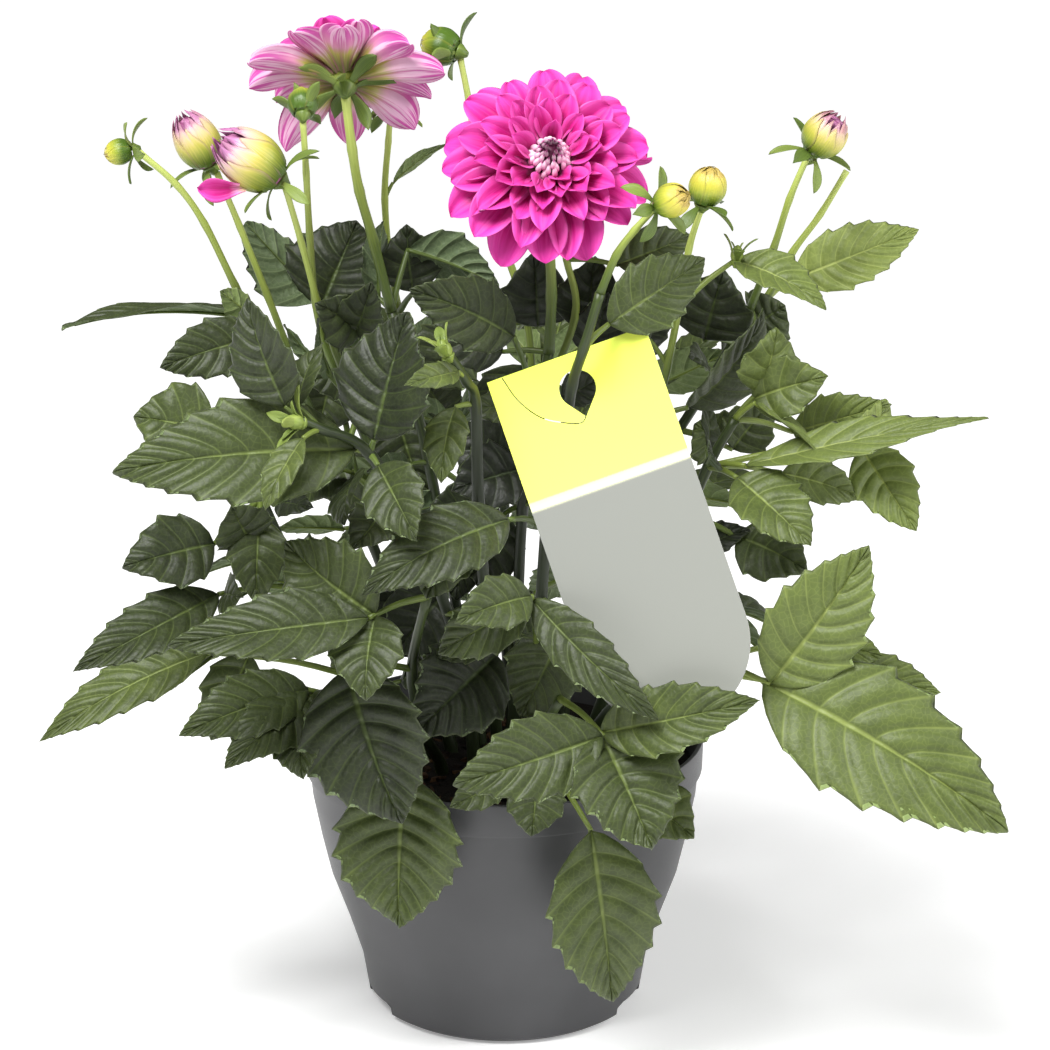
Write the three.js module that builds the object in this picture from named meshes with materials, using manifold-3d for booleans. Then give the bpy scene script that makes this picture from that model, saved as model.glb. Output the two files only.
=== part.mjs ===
// A potted dahlia: a bushy flowering plant in a round plastic growing pot, with a card tag on one stem.
// Millimetres, +Z up. The origin is the centre of the pot's underside; the plant's front looks along -Y.
import * as THREE from 'three';
import { mergeVertices } from 'three/addons/utils/BufferGeometryUtils.js';
import Module from 'manifold-3d';

const wasm = await Module();
wasm.setup();

// Clear gap between pieces that touch, and the size below which a sliver is dropped
const GAP = 0.3;
const SLIVER = 0.03;

// Pot: outer radius at each height, and the thickness of its moulded wall and floor
const POT_OUTLINE = [
  [62, 0], [66, 3], [69.5, 24], [76.3, 45.5], [84, 67], [92.3, 106], [93.3, 117], [95.2, 118], [95.8, 134],
];
const POT_INSIDE = [[94, 134], [82.2, 67], [67.7, 24], [64.5, 4], [62, 2]];
const POT_FLOOR = 2;
const POT_SEGMENTS = 24;
const POT_FOOT_RADIUS = 66;
const SLOT_AZIMUTHS = [21, 159, 201, 339];
const SLOT_WIDTH = 32;
const SLOT_DEPTH = 12;
const SLOT_HEIGHT = 8;

// Soil: its outline inside the pot, its crown, and how deep the stems stand in it
const SOIL_OUTLINE = [[59.8, 2.4], [81.7, 67], [90.6, 118]];
const SOIL_CROWN = 121;
const STEM_SEAT = 100;
const STEM_RISE = 123;

// Stems and leaf stalks: radius and number of sides
const MAIN_RADIUS = 4.2;
const MAIN_TOP_RADIUS = 3.2;
const STALK_RADIUS = 2.7;
const STALK_TOP_RADIUS = 2.3;
const STEM_SIDES = 5;
const PETIOLE_RADIUS = 2;
const PETIOLE_TOP_RADIUS = 1.7;

// Blades: thickness along the midrib
const LEAF_THICKNESS = 1.3;
const PETAL_THICKNESS = 1.1;

// Bracts: how far out each is widest, and how far every second one droops more or less than the others
const BRACT_WIDEST = 0.55;
const BRACT_DROOP_MORE = 12;
const BRACT_DROOP_LESS = -8;
const BUD_BRACTS = 6;
const BLOOM_SEAT = { seat: 6, bracts: 7, length: 18, width: 8, droop: 16 };

// Leaflet sizes by width: the teeth down each side, and the places along the midrib where the blade bends
const LEAFLET_SIZES = [
  { least: 40, teeth: 4, ribs: [0.16, 0.48, 0.8] },
  { least: 31, teeth: 3, ribs: [0.42] },
  { least: 0, teeth: 2, ribs: [0.44] },
];

// Leaflet: how far its teeth stand out and are cut in, its narrow neck and shoulder, its bow and its fold,
// and how far back on the stalk the side leaflets are rooted
const TOOTH_OUT = 1.07;
const TOOTH_IN = 0.86;
const TOOTH_STEP = 0.012;
const FIRST_TOOTH = 0.13;
const TOOTHED_SHARE = 0.74;
const LEAF_NECK = [0.06, 0.1];
const LEAF_SHOULDER = [0.14, 0.36];
const LEAF_UPWARD = 0.61;
const LEAF_ARCH = 0.07;
const LEAF_FOLD = 0.16;
const LEAFLET_SET_BACK = 4;

// Bud: radius share and height share of its outline, closed or with its tips parted round a hollow,
// and how far its ridges stand out between the valleys
const BUD_CLOSED = [[0, 0], [0.28, 0.01], [0.44, 0.2], [0.5, 0.42], [0.4, 0.7], [0.18, 0.92], [0, 1]];
const BUD_PARTED = [
  [0, 0], [0.28, 0.01], [0.46, 0.22], [0.5, 0.46], [0.42, 0.74], [0.3, 1], [0.22, 0.78], [0, 0.6],
];
const PARTED_TIP_ROW = 5;
const RIDGE = 1.04;
const VALLEY = 0.9;
const NOTCH = 0.8;
const YOUNG_HEAD = [[0, -0.3], [0.4, 0.3], [0.36, 0.7], [0, 1.05]];
const YOUNG_HEAD_SIDES = 6;

// Bloom: the head that the petals grow from, and each measure of a petal as [outermost, change to innermost]
const BLOOM_CORE_TOP = 10;
const BLOOM_CORE = [[0, GAP], [8, GAP], [13, 4], [9.6, BLOOM_CORE_TOP], [0, BLOOM_CORE_TOP]];
const BLOOM_CORE_SIDES = 10;
const GOLDEN_ANGLE = 137.508;
const PETAL_LIFT = [-12, 78];
const PETAL_LENGTH = [0.8, -0.5];
const PETAL_WIDTH = [0.47, -0.22];
const PETAL_ROOT_RADIUS = [10.5, -2.2];
const PETAL_ROOT_HEIGHT = [2.5, 6];
const PETAL_ARCH = [0.05, -0.12];
const PETAL_FOLD = 0.3;
const OUTER_PETAL = { outline: [[0.25, 0.4], [0.6, 1], [0.87, 0.64]], ribs: [0.4, 0.78] };
const INNER_PETAL = { outline: [[0.3, 0.6], [0.72, 1]], ribs: [0.6] };

// Centre of a bloom: its columns of closed florets, and how far each tip stands out and up
const FLORETS = 7;
const FLORET_DOME = [[0, 0], [7, 0], [8, 3], [8, 6], [6.5, 9], [3.8, 11.2], [0, 11.5]];
const FLORET_REACH = 1.16;
const FLORET_RISE = 1;

// Tag: a card with a round end and a tear-shaped hole near its straight end
const TAG_WIDTH = 75;
const TAG_LENGTH = 173;
const TAG_THICKNESS = 0.8;
const TAG_HOLE_RADIUS = 8.3;
const TAG_HOLE_POINT = 12.5;
const TAG_HOLE_DROP = 16;
const TAG_CORNER = [-7, -78, 330];
const TAG_TOP_EDGE = [70, 0, 26];
const TAG_FALL = [56.6, -60, -152];

const vec = (list) => new THREE.Vector3(list[0], list[1], list[2]);
const radians = (degrees) => degrees * Math.PI / 180;

// Leafy stems. Each stands in the soil at foot and rises through main; stalks are its thinner flower stems.
// A leaf has a stalk from a place on the stem to its joint, and blades of [tip x, y, z, width] that spring
// from there. A blade's fifth value is the way its upper face looks, where that isn't outwards and up.
const SHOOTS = [
  {
    name: 'shoot_far_left',
    foot: [-26, 10],
    main: [[-40, 14, 160], [-66, 20, 230], [-96, 20, 299]],
    stalks: [
      [[-96, 20, 299], [-113, 14, 327], [-125, 8, 353], [-138, 4, 383], [-150, 1, 402], [-167, 0, 418]],
      [[-96, 20, 299], [-103, 21, 322], [-111, 21, 345], [-123, 20, 378], [-133, 19, 404]],
    ],
    leaves: [
      { from: [-103, 21, 322], joint: [-118, 28, 333], blades: [[-206, 4, 337, 38, [0, 0.2, 1]]] },
      { from: [-96, 20, 299], joint: [-112, -2, 331], blades: [[-158, -22, 322, 30, [0, -1, 0.6]]] },
      { from: [-66, 20, 230], joint: [-88, 44, 336], blades: [[-124, 58, 370, 40], [-70, 66, 370, 52, [0, -1, 0.6]]] },
      { from: [-113, 14, 327], joint: [-116, 6, 338], blades: [[-131, -6, 354, 15]] },
      { from: [-96, 20, 299], joint: [-82, 34, 303], blades: [[-89, 30, 275, 37, [0, -1, 0.3]]] },
      { from: [-53, 17, 195], joint: [-51, 11, 203], blades: [[-60, 14, 163, 37, [0, -1, 0.3]]] },
    ],
    young: [],
  },
  {
    name: 'shoot_left',
    foot: [-14, -6],
    main: [[-24, -10, 170], [-48, -10, 240], [-71, -7, 300]],
    stalks: [
      [[-68, -7, 294], [-78, -10, 327], [-85, -14, 349], [-92, -20, 380], [-99, -24, 408]],
      [[-71, -7, 300], [-82, -4, 325], [-87, -4, 348], [-89, -6, 380], [-90, -8, 410], [-91, -9, 434]],
    ],
    leaves: [
      { from: [-71, -7, 300], joint: [-82, -18, 318], blades: [[-101, -30, 344, 14], [-84, -36, 349, 18]] },
      { from: [-48, -10, 240], joint: [-70, -36, 276], blades: [[-96, -66, 290, 30], [-72, -74, 262, 26]] },
      { from: [-76.5, -5.5, 312.5], joint: [-69, 13, 312], blades: [[-92, -1, 309, 26, [0, -1, 0.4]]] },
      {
        from: [-78, -10, 327],
        joint: [-66, -6, 335],
        blades: [[-85, -23, 352, 30, [0, -1, 0.4]], [-60, -25, 363, 24, [0, -1, 0.4]]],
      },
      { from: [-68, -7, 294], joint: [-72, -21, 283], blades: [[-100, -33, 261, 32, [0, -1, 0.6]]] },
      { from: [-36, -10, 205], joint: [-28, -20, 211], blades: [[-51, -27, 184, 40, [0, -1, 0.3]]] },
    ],
    young: [],
  },
  {
    name: 'shoot_front_left',
    foot: [-14, -34],
    main: [[-18, -44, 180], [-36, -74, 250], [-59, -95, 302], [-80, -110, 318], [-88, -114, 323]],
    stalks: [],
    leaves: [
      { from: [-59, -95, 302], joint: [-57, -97, 309], blades: [[-42, -90, 366, 52]] },
      { from: [-59, -95, 302], joint: [-55, -103, 299], blades: [[-38, -136, 276, 30]] },
      { from: [-59, -95, 302], joint: [-65, -98, 305], blades: [[-171, -118, 302, 52, [-0.1, -0.8, 0.6]]] },
      { from: [-80, -110, 318], joint: [-90, -105, 327], blades: [[-80, -92, 353, 19]] },
      { from: [-88, -114, 323], joint: [-95, -112, 329], blades: [[-113, -104, 375, 38]] },
      { from: [-80, -110, 318], joint: [-87, -121, 317], blades: [[-104, -140, 291, 19]] },
      { from: [-46, -83, 272], joint: [-54, -62, 267], blades: [[-68, -86, 254, 24, [0, -1, 0.5]]] },
      { from: [-18, -44, 180], joint: [-3, -63, 196], blades: [[-40, -93, 168, 46, [0, -1, 0.4]]] },
      { from: [-27, -59, 215], joint: [-4, -75, 213], blades: [[-31, -77, 200, 22, [0, -1, 0.5]]] },
    ],
    young: [{ at: [-88, -114, 322], axis: [-0.8, -0.45, 0.25], size: 8 }],
  },
  {
    name: 'shoot_left_low',
    foot: [-38, 0],
    main: [[-56, -8, 160], [-92, -24, 215], [-112, -34, 262], [-120, -37, 284]],
    stalks: [],
    leaves: [
      { from: [-120, -37, 284], joint: [-132, -40, 296], blades: [[-169, -42, 304, 40, [0, -1, 0.4]]] },
      { from: [-112, -34, 262], joint: [-132, -58, 248], blades: [[-172, -78, 244, 36, [0, -1, 0.6]]] },
      {
        from: [-92, -24, 215],
        joint: [-130, -68, 227],
        blades: [[-193, -108, 205, 32, [0, -0.8, 0.8]], [-118, -98, 236, 20]],
      },
      { from: [-112, -34, 262], joint: [-112, -46, 257], blades: [[-113, -66, 222, 28, [0, -1, 0.3]]] },
      { from: [-56, -8, 160], joint: [-138, -38, 188], blades: [[-216, -60, 152, 30, [0, -0.7, 0.9]], [-158, -6, 160, 26]] },
      { from: [-112, -34, 262], joint: [-116, -50, 247], blades: [[-124, -61, 268, 30, [0, -1, 0.5]]] },
      { from: [-92, -24, 215], joint: [-118, -48, 191], blades: [[-136, -59, 152, 30, [0, -1, 0.6]]] },
    ],
    young: [],
  },
  {
    name: 'shoot_front_left_low',
    foot: [-30, -18],
    main: [[-38, -40, 150], [-42, -66, 190], [-34, -98, 236]],
    stalks: [],
    leaves: [
      {
        from: [-34, -98, 236],
        joint: [-59, -124, 235],
        blades: [[-147, -140, 229, 36], [-97, -104, 264, 42], [-60, -148, 205, 34]],
      },
      {
        from: [-38, -40, 150],
        joint: [-89, -80, 185],
        blades: [[-146, -108, 174, 34, [0, -1, 0.8]], [-124, -122, 165, 32, [0, -1, 0.8]], [-90, -126, 160, 38]],
      },
      { from: [-42, -66, 190], joint: [-70, -104, 204], blades: [[-46, -124, 136, 60]] },
      { from: [-38, -40, 150], joint: [-45, -98, 150], blades: [[-48, -106, 78, 60, [-0.3, -1, 0.1]]] },
    ],
    young: [],
  },
  {
    name: 'shoot_front_low',
    foot: [6, -40],
    main: [[14, -62, 150], [26, -92, 185]],
    stalks: [],
    leaves: [
      {
        from: [26, -92, 185],
        joint: [45, -134, 183],
        blades: [[-22, -150, 166, 38], [112, -150, 206, 33], [66, -160, 139, 52]],
      },
      { from: [14, -62, 150], joint: [60, -110, 146], blades: [[87, -120, 129, 30]] },
      { from: [14, -62, 150], joint: [40, -110, 128], blades: [[51, -106, 39, 52, [0.2, -1, 0.1]]] },
      { from: [14, -62, 150], joint: [15, -99, 148], blades: [[13, -112, 126, 28]] },
      { from: [14, -62, 150], joint: [0, -103, 150], blades: [[-24, -120, 143, 18]] },
    ],
    young: [],
  },
  {
    name: 'shoot_young',
    foot: [-2, -22],
    main: [[-6, -42, 180], [-11, -70, 270], [-12, -84, 322], [-16, -96, 336], [-24, -104, 351]],
    stalks: [],
    leaves: [
      { from: [-16, -96, 336], joint: [-19, -103, 342], blades: [[-42, -126, 343, 13]] },
      { from: [-12, -84, 322], joint: [-21, -89, 322], blades: [[-27, -107, 292, 21]] },
      { from: [-11, -70, 270], joint: [-18, -92, 268], blades: [[-34, -112, 240, 34]] },
    ],
    young: [{ at: [-24, -104, 350], axis: [-0.4, -0.1, 0.8], size: 8 }],
  },
  {
    name: 'shoot_front',
    foot: [14, -24],
    main: [[16, -34, 180], [20, -44, 250], [28, -66, 303], [31, -81, 330], [36, -92, 350], [43, -93, 375]],
    stalks: [[[43, -93, 375], [50, -92, 392], [58, -91, 403], [66, -91, 412]]],
    leaves: [
      { from: [36, -92, 350], joint: [47, -82, 358], blades: [[91, -60, 383, 33]] },
      { from: [20, -44, 250], joint: [3, -103, 274], blades: [[-61, -136, 252, 38]] },
      {
        from: [16, -34, 180],
        joint: [13, -118, 243],
        blades: [[-20, -142, 240, 26], [68, -153, 198, 25, [-0.2, -0.9, 0.5]], [-30, -112, 214, 30]],
      },
      { from: [18, -39, 215], joint: [28, -56, 206], blades: [[8, -56, 162, 38, [0, -1, 0.3]]] },
    ],
    young: [],
  },
  {
    name: 'shoot_centre',
    foot: [4, 2],
    main: [[6, 0, 180], [9, -6, 250], [16, -18, 300], [21, -26, 330]],
    stalks: [
      [[21, -26, 330], [22, -31, 358], [21, -34, 384], [19.5, -37, 404], [19.6, -41, 417]],
      [[16, -18, 300], [33, -16, 344], [29, -14, 371], [26, -12, 392]],
      [
        [9, -6, 250], [13, 16, 300], [11, 22, 332], [4, 26, 356],
        [-10, 30, 396], [-16, 33, 434], [-20, 33, 455],
      ],
    ],
    leaves: [
      { from: [16, -18, 300], joint: [5, -44, 342], blades: [[-42, -62, 369, 34]] },
      { from: [21, -26, 330], joint: [0, -18, 328], blades: [[-32, -25, 339, 26, [0, -1, 0.5]]] },
      {
        from: [12.5, -12, 275],
        joint: [7, -7, 265],
        blades: [[-21, -1, 288, 38, [0, -1, 0.4]], [-24, -22, 262, 34, [0, -1, 0.6]]],
      },
      {
        from: [9, -6, 250],
        joint: [-2, 10, 239],
        blades: [[-35, 3, 247, 36, [0, -1, 0.6]], [-11, 4, 204, 32, [0, -1, 0.3]]],
      },
      { from: [29, -14, 371], joint: [52, -17, 369], blades: [[87, -4, 380, 24, [0, -1, 0.4]]] },
      {
        from: [24.5, -17, 322],
        joint: [43, -3, 324],
        blades: [[81, 14, 340, 32, [0, -1, 0.4]], [48, -18, 356, 26, [0, -1, 0.3]]],
      },
      { from: [11, 22, 332], joint: [7, 39, 324], blades: [[22, 55, 343, 24, [0, -1, 0.4]]] },
      { from: [11, 22, 332], joint: [16, 12, 332], blades: [[14, 3, 369, 37, [0, -1, 0.4]]] },
      { from: [33, -16, 344], joint: [39, -3, 334], blades: [[42, -5, 370, 34, [0, -1, 0.4]]] },
      { from: [12, 19, 316], joint: [10, 42, 305], blades: [[-5, 35, 269, 37, [0, -1, 0.3]]] },
      { from: [11, 22, 332], joint: [-18, 20, 327], blades: [[-39, 27, 301, 37, [0, -1, 0.3]]] },
    ],
    young: [{ at: [26, -12, 391], axis: [-0.1, 0.4, 1], size: 8 }],
  },
  {
    name: 'shoot_back_left',
    foot: [-12, 20],
    main: [[-20, 26, 170], [-36, 30, 260], [-53, 26, 336]],
    stalks: [
      [[-53, 26, 336], [-61, 23, 371], [-67, 20, 395], [-70, 18, 415], [-73, 20, 441]],
      [[-36, 30, 260], [-46, 50, 310], [-54, 64, 345], [-57, 68, 380], [-55, 68, 408], [-54, 68, 420]],
    ],
    leaves: [
      { from: [-57, 68, 380], joint: [-53, 69, 388], blades: [[-25, 72, 408, 10]] },
      { from: [-53, 26, 336], joint: [-60, 30, 342], blades: [[-57, 40, 376, 26]] },
      { from: [-53, 26, 336], joint: [-45, 38, 363], blades: [[-2, 34, 346, 32]] },
      { from: [-50, 57, 327.5], joint: [-43, 45, 340], blades: [[-46, 46, 373, 30, [0, -1, 0.4]]] },
      { from: [-41, 40, 285], joint: [-51, 55, 275], blades: [[-38, 45, 238, 37, [0, -1, 0.3]]] },
      { from: [-36, 30, 260], joint: [-14, 27, 245], blades: [[-23, 13, 196, 37, [0, -1, 0.3]]] },
    ],
    young: [],
  },
  {
    name: 'shoot_right',
    foot: [22, -6],
    main: [[32, -12, 180], [50, -20, 250], [70, -32, 300]],
    stalks: [[[70, -32, 300], [75, -36, 326], [80, -39, 355], [84, -40, 382], [89, -40, 400]]],
    leaves: [
      { from: [80, -39, 355], joint: [105, -30, 374], blades: [[146, -52, 359, 26, [0.2, -0.6, 0.75]]] },
      { from: [70, -32, 300], joint: [85, -34, 306], blades: [[120, -32, 351, 46]] },
      { from: [75, -36, 326], joint: [67, -34, 338], blades: [[50, -38, 357, 18]] },
    ],
    young: [{ at: [106, -30, 374], axis: [0.1, 0.2, 0.9], size: 7 }],
  },
  {
    name: 'shoot_back_right',
    foot: [20, 16],
    main: [[36, 20, 170], [68, 24, 250], [100, 27, 305], [116, 26, 337]],
    stalks: [
      [[116, 26, 337], [126, 23, 366], [133, 20, 391], [141, 21, 411]],
      [[100, 27, 305], [124, 36, 339], [136, 38, 361], [149, 40, 379], [161, 40, 400]],
    ],
    leaves: [
      { from: [124, 36, 339], joint: [138, 55, 344], blades: [[198, 60, 368, 31, [0, -1, 0.5]]] },
      { from: [108, 26.5, 321], joint: [94, 7, 327], blades: [[102, 2, 361, 42, [0, -1, 0.4]]] },
      { from: [116, 26, 337], joint: [119, 33, 327], blades: [[133, 32, 337, 32, [0.2, -1, 0.4]]] },
      {
        from: [84, 25.5, 277.5],
        joint: [108, 12, 272],
        blades: [[126, 12, 295, 26, [0.2, -1, 0.4]], [90, 14, 284, 30, [0, -1, 0.4]]],
      },
    ],
    young: [],
  },
  {
    name: 'shoot_right_middle',
    foot: [38, -6],
    main: [[52, -16, 170], [76, -32, 230], [94, -42, 280], [106, -43, 303]],
    stalks: [],
    leaves: [
      {
        from: [106, -43, 303],
        joint: [116, -42, 315],
        blades: [[124, -46, 347, 30, [0.2, -1, 0.2]], [147, -53, 326, 30, [0.2, -1, 0.5]]],
      },
      { from: [106, -43, 303], joint: [115, -47, 312], blades: [[147, -72, 292, 18]] },
      { from: [94, -42, 280], joint: [110, -60, 286], blades: [[216, -82, 318, 28, [0, -0.4, 1]]] },
      { from: [94, -42, 280], joint: [106, -66, 282], blades: [[138, -97, 260, 36, [0.1, -0.6, 0.9]]] },
      { from: [94, -42, 280], joint: [163, -52, 292], blades: [[187, -76, 260, 30, [0, -1, 0.5]], [176, -44, 312, 24]] },
      { from: [106, -43, 303], joint: [134, -20, 290], blades: [[175, -48, 312, 25, [0, -1, 0.6]]] },
      { from: [94, -42, 280], joint: [129, -20, 270], blades: [[167, -16, 257, 24, [0, -1, 0.7]]] },
      { from: [85, -37, 255], joint: [108, -38, 245], blades: [[140, -52, 233, 34, [0.2, -1, 0.6]]] },
    ],
    young: [],
  },
  {
    name: 'shoot_right_low',
    foot: [32, -24],
    main: [[48, -46, 160], [72, -72, 190], [94, -94, 203]],
    stalks: [],
    leaves: [
      {
        from: [94, -94, 203],
        joint: [120, -111, 199],
        blades: [[163, -106, 263, 46, [0.3, -1, 0.5]], [225, -150, 145, 64, [-0.1, -1, 0.8]], [147, -124, 166, 14]],
      },
      { from: [72, -72, 190], joint: [134, -90, 190], blades: [[199, -92, 188, 34]] },
      { from: [94, -94, 203], joint: [132, -89, 211], blades: [[172, -91, 205, 27, [0.2, -1, 0.7]]] },
    ],
    young: [],
  },
];

// Flower buds: the stem that holds each, its seat and axis, its size, its scales and whether they parted
const BUDS = [
  ['bud_far_left', 'shoot_far_left', [-170, 0, 419], [-0.95, -0.1, -0.15], 12, 13, 5, false],
  ['bud_left_upper', 'shoot_far_left', [-136, 19, 408], [-0.45, -0.1, 0.88], 21, 27, 7, true],
  ['bud_left_open', 'shoot_left', [-102, -25, 411], [-0.75, -0.2, 0.6], 26, 34, 8, true],
  ['bud_left_turned', 'shoot_left', [-91, -8, 437], [-0.05, 0.8, 0.6], 14, 15, 5, false],
  ['bud_back_left', 'shoot_back_left', [-54, 69, 423], [0.1, 0.5, 0.85], 14, 15, 5, false],
  ['bud_top', 'shoot_centre', [-21, 33, 458], [-0.85, 0.35, 0.2], 18, 19, 5, false],
  ['bud_front', 'shoot_front', [68, -91, 414], [0.75, -0.5, 0.4], 15, 17, 5, false],
  ['bud_right', 'shoot_right', [90, -40, 403], [0.25, -0.1, 0.95], 17, 18, 5, false],
  ['bud_far_right', 'shoot_back_right', [143, 20, 414], [0.55, -0.25, 0.8], 20, 22, 6, true],
].map(([name, stem, at, axis, wide, long, scales, open]) => ({
  name, stem, at, axis, wide, long, scales, open,
}));

// Open blooms: one looks at the viewer, the other up and away
const BLOOMS = [
  ['bloom_front', 'shoot_centre', [20, -44, 420], [0.08, -0.8, 0.6], 53, 44, 10],
  ['bloom_back', 'shoot_back_left', [-73, 21, 444], [-0.03, 0.84, 0.54], 49, 32, 55],
].map(([name, stem, at, axis, radius, petals, roll]) => ({ name, stem, at, axis, radius, petals, roll }));

// The stems at the back of the plant, laid out by rule: foot in the soil and the way each leans
const BACK_STEMS = [
  { name: 'shoot_back', foot: [4, 36], azimuth: 90 },
  { name: 'shoot_back_left_low', foot: [-26, 32], azimuth: 137 },
  { name: 'shoot_back_right_low', foot: [28, 34], azimuth: 50 },
];
const BACK_LEAVES = 5;

const polar = (azimuth, radius, z) => [
  radius * Math.cos(radians(azimuth)), radius * Math.sin(radians(azimuth)), z,
];

// A leaf of three leaflets, its middle one pointing away from the plant and drooping
function spreadLeaf(from, azimuth, reach, z, size, droop) {
  const joint = polar(azimuth, reach, z);
  const blades = [[0, 1, 0.54], [62, 0.76, 0.46], [-62, 0.76, 0.46]].map(([turn, share, broad]) => {
    const [dx, dy] = polar(azimuth + turn, size * share, 0);
    return [joint[0] + dx, joint[1] + dy, z - droop * size * share, size * broad];
  });
  return { from, joint, blades };
}

function backStem({ name, foot, azimuth }) {
  const main = [[55, 175], [78, 235], [92, 285]].map(([radius, z]) => polar(azimuth, radius, z));
  const leaves = [];
  for (let k = 0; k < BACK_LEAVES; k += 1) {
    const from = main[Math.floor(k / 2)];
    const turn = (k % 2 ? 1 : -1) * (22 - 4 * Math.floor(k / 2));
    leaves.push(spreadLeaf(from, azimuth + turn, 112 - 6 * k, 182 + 27 * k, 62 - 2 * k, 0.6 - 0.3 * k));
  }
  return { name, foot, main, stalks: [], leaves, young: [] };
}
const ALL_SHOOTS = [...SHOOTS, ...BACK_STEMS.map(backStem)];

// Solids

function solidOf(positions, triangles) {
  const mesh = new wasm.Mesh({
    numProp: 3,
    vertProperties: new Float32Array(positions),
    triVerts: new Uint32Array(triangles),
  });
  return new wasm.Manifold(mesh);
}

// The solid inside a closed surface, its shared vertices merged and its empty triangles at the axis dropped
function solidOfGeometry(geometry) {
  const bare = geometry.clone();
  bare.deleteAttribute('normal');
  bare.deleteAttribute('uv');
  const merged = mergeVertices(bare, 1e-3);
  const index = Array.from(merged.index.array);
  const triangles = [];
  for (let i = 0; i < index.length; i += 3) {
    const [a, b, c] = index.slice(i, i + 3);
    if (a !== b && b !== c && c !== a) {
      triangles.push(a, b, c);
    }
  }
  return solidOf(merged.attributes.position.array, triangles);
}

// Pieces grown into one, without the slivers where their surfaces nearly meet
function join(solids) {
  return solids.reduce((whole, piece) => whole.add(piece)).simplify(SLIVER);
}

function geometryOf(solid) {
  const mesh = solid.getMesh();
  const geometry = new THREE.BufferGeometry();
  geometry.setAttribute('position', new THREE.BufferAttribute(mesh.vertProperties, 3));
  geometry.setIndex(new THREE.BufferAttribute(mesh.triVerts, 1));
  geometry.computeVertexNormals();
  return geometry;
}

// Stands a body that was made round the Y axis on a point, its axis turned to a direction
function standOn(geometry, foot, direction) {
  geometry.applyQuaternion(new THREE.Quaternion().setFromUnitVectors(new THREE.Vector3(0, 1, 0), direction));
  geometry.translate(foot.x, foot.y, foot.z);
  return geometry;
}

// A round body turned about a direction: profile points are [radius, height along it]
function turned(profile, sides, foot, direction) {
  const points = profile.map(([radius, height]) => new THREE.Vector2(radius, height));
  return solidOfGeometry(standOn(new THREE.LatheGeometry(points, sides), foot, direction));
}

// A tapered rod with flat ends, one span between each two points of a smooth curve
function rod(points, startRadius, endRadius, sides) {
  const curve = new THREE.CatmullRomCurve3(points, false, 'catmullrom', 0.5);
  const steps = points.length - 1;
  const positions = [];
  const triangles = [];
  let across = new THREE.Vector3(0.9, 0.1, 0.42);
  for (let i = 0; i <= steps; i += 1) {
    const t = i / steps;
    const centre = curve.getPoint(t);
    const along = curve.getTangent(t);
    across = across.clone().addScaledVector(along, -across.dot(along)).normalize();
    const around = new THREE.Vector3().crossVectors(along, across);
    const radius = startRadius + (endRadius - startRadius) * t;
    for (let k = 0; k < sides; k += 1) {
      const angle = 2 * Math.PI * k / sides;
      const rim = centre.clone()
        .addScaledVector(across, radius * Math.cos(angle))
        .addScaledVector(around, radius * Math.sin(angle));
      positions.push(rim.x, rim.y, rim.z);
    }
  }
  for (let i = 0; i < steps; i += 1) {
    for (let k = 0; k < sides; k += 1) {
      const a = i * sides + k;
      const b = i * sides + (k + 1) % sides;
      triangles.push(a, b, b + sides, a, b + sides, a + sides);
    }
  }
  const last = steps * sides;
  for (let k = 1; k < sides - 1; k += 1) {
    triangles.push(0, k + 1, k, last, last + k, last + k + 1);
  }
  return solidOf(positions, triangles);
}

// The solid between two midrib chains, above and below, and two rim chains, left and right.
// Each chain is a list of [u, point]; all four end in the same tip, and start in one point or in a cap.
function bladeSolid(ribs, rims) {
  const positions = [];
  const numbers = new Map();
  const numbered = (chain) => chain.map(([u, point]) => {
    if (!numbers.has(point)) {
      numbers.set(point, numbers.size);
      positions.push(point.x, point.y, point.z);
    }
    return [u, numbers.get(point)];
  });
  const [above, below] = ribs.map(numbered);
  const [left, right] = rims.map(numbered);
  const triangles = [];
  // The band from a midrib to a rim: whichever chain lags behind takes the next step
  const band = (rib, rim, turnedOver) => {
    let i = 0;
    let j = 0;
    while (i < rib.length - 1 || j < rim.length - 1) {
      const ribSteps = i < rib.length - 1 && (j === rim.length - 1 || rib[i + 1][0] <= rim[j + 1][0]);
      const triangle = [rib[i][1], (ribSteps ? rib[i + 1] : rim[j + 1])[1], rim[j][1]];
      if (new Set(triangle).size === 3) {
        triangles.push(...(turnedOver ? triangle.reverse() : triangle));
      }
      i += ribSteps ? 1 : 0;
      j += ribSteps ? 0 : 1;
    }
  };
  band(above, left, false);
  band(above, right, true);
  band(below, left, true);
  band(below, right, false);
  if (above[0][1] !== below[0][1]) {
    triangles.push(above[0][1], left[0][1], below[0][1], above[0][1], below[0][1], right[0][1]);
  }
  return solidOf(positions, triangles);
}

// A frame for a blade that runs from base to tip with its upper side towards face
function bladeFrame(base, tip, face) {
  const along = tip.clone().sub(base).normalize();
  const up = face.clone().addScaledVector(along, -face.dot(along)).normalize();
  return { along, up, side: new THREE.Vector3().crossVectors(up, along) };
}

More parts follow.
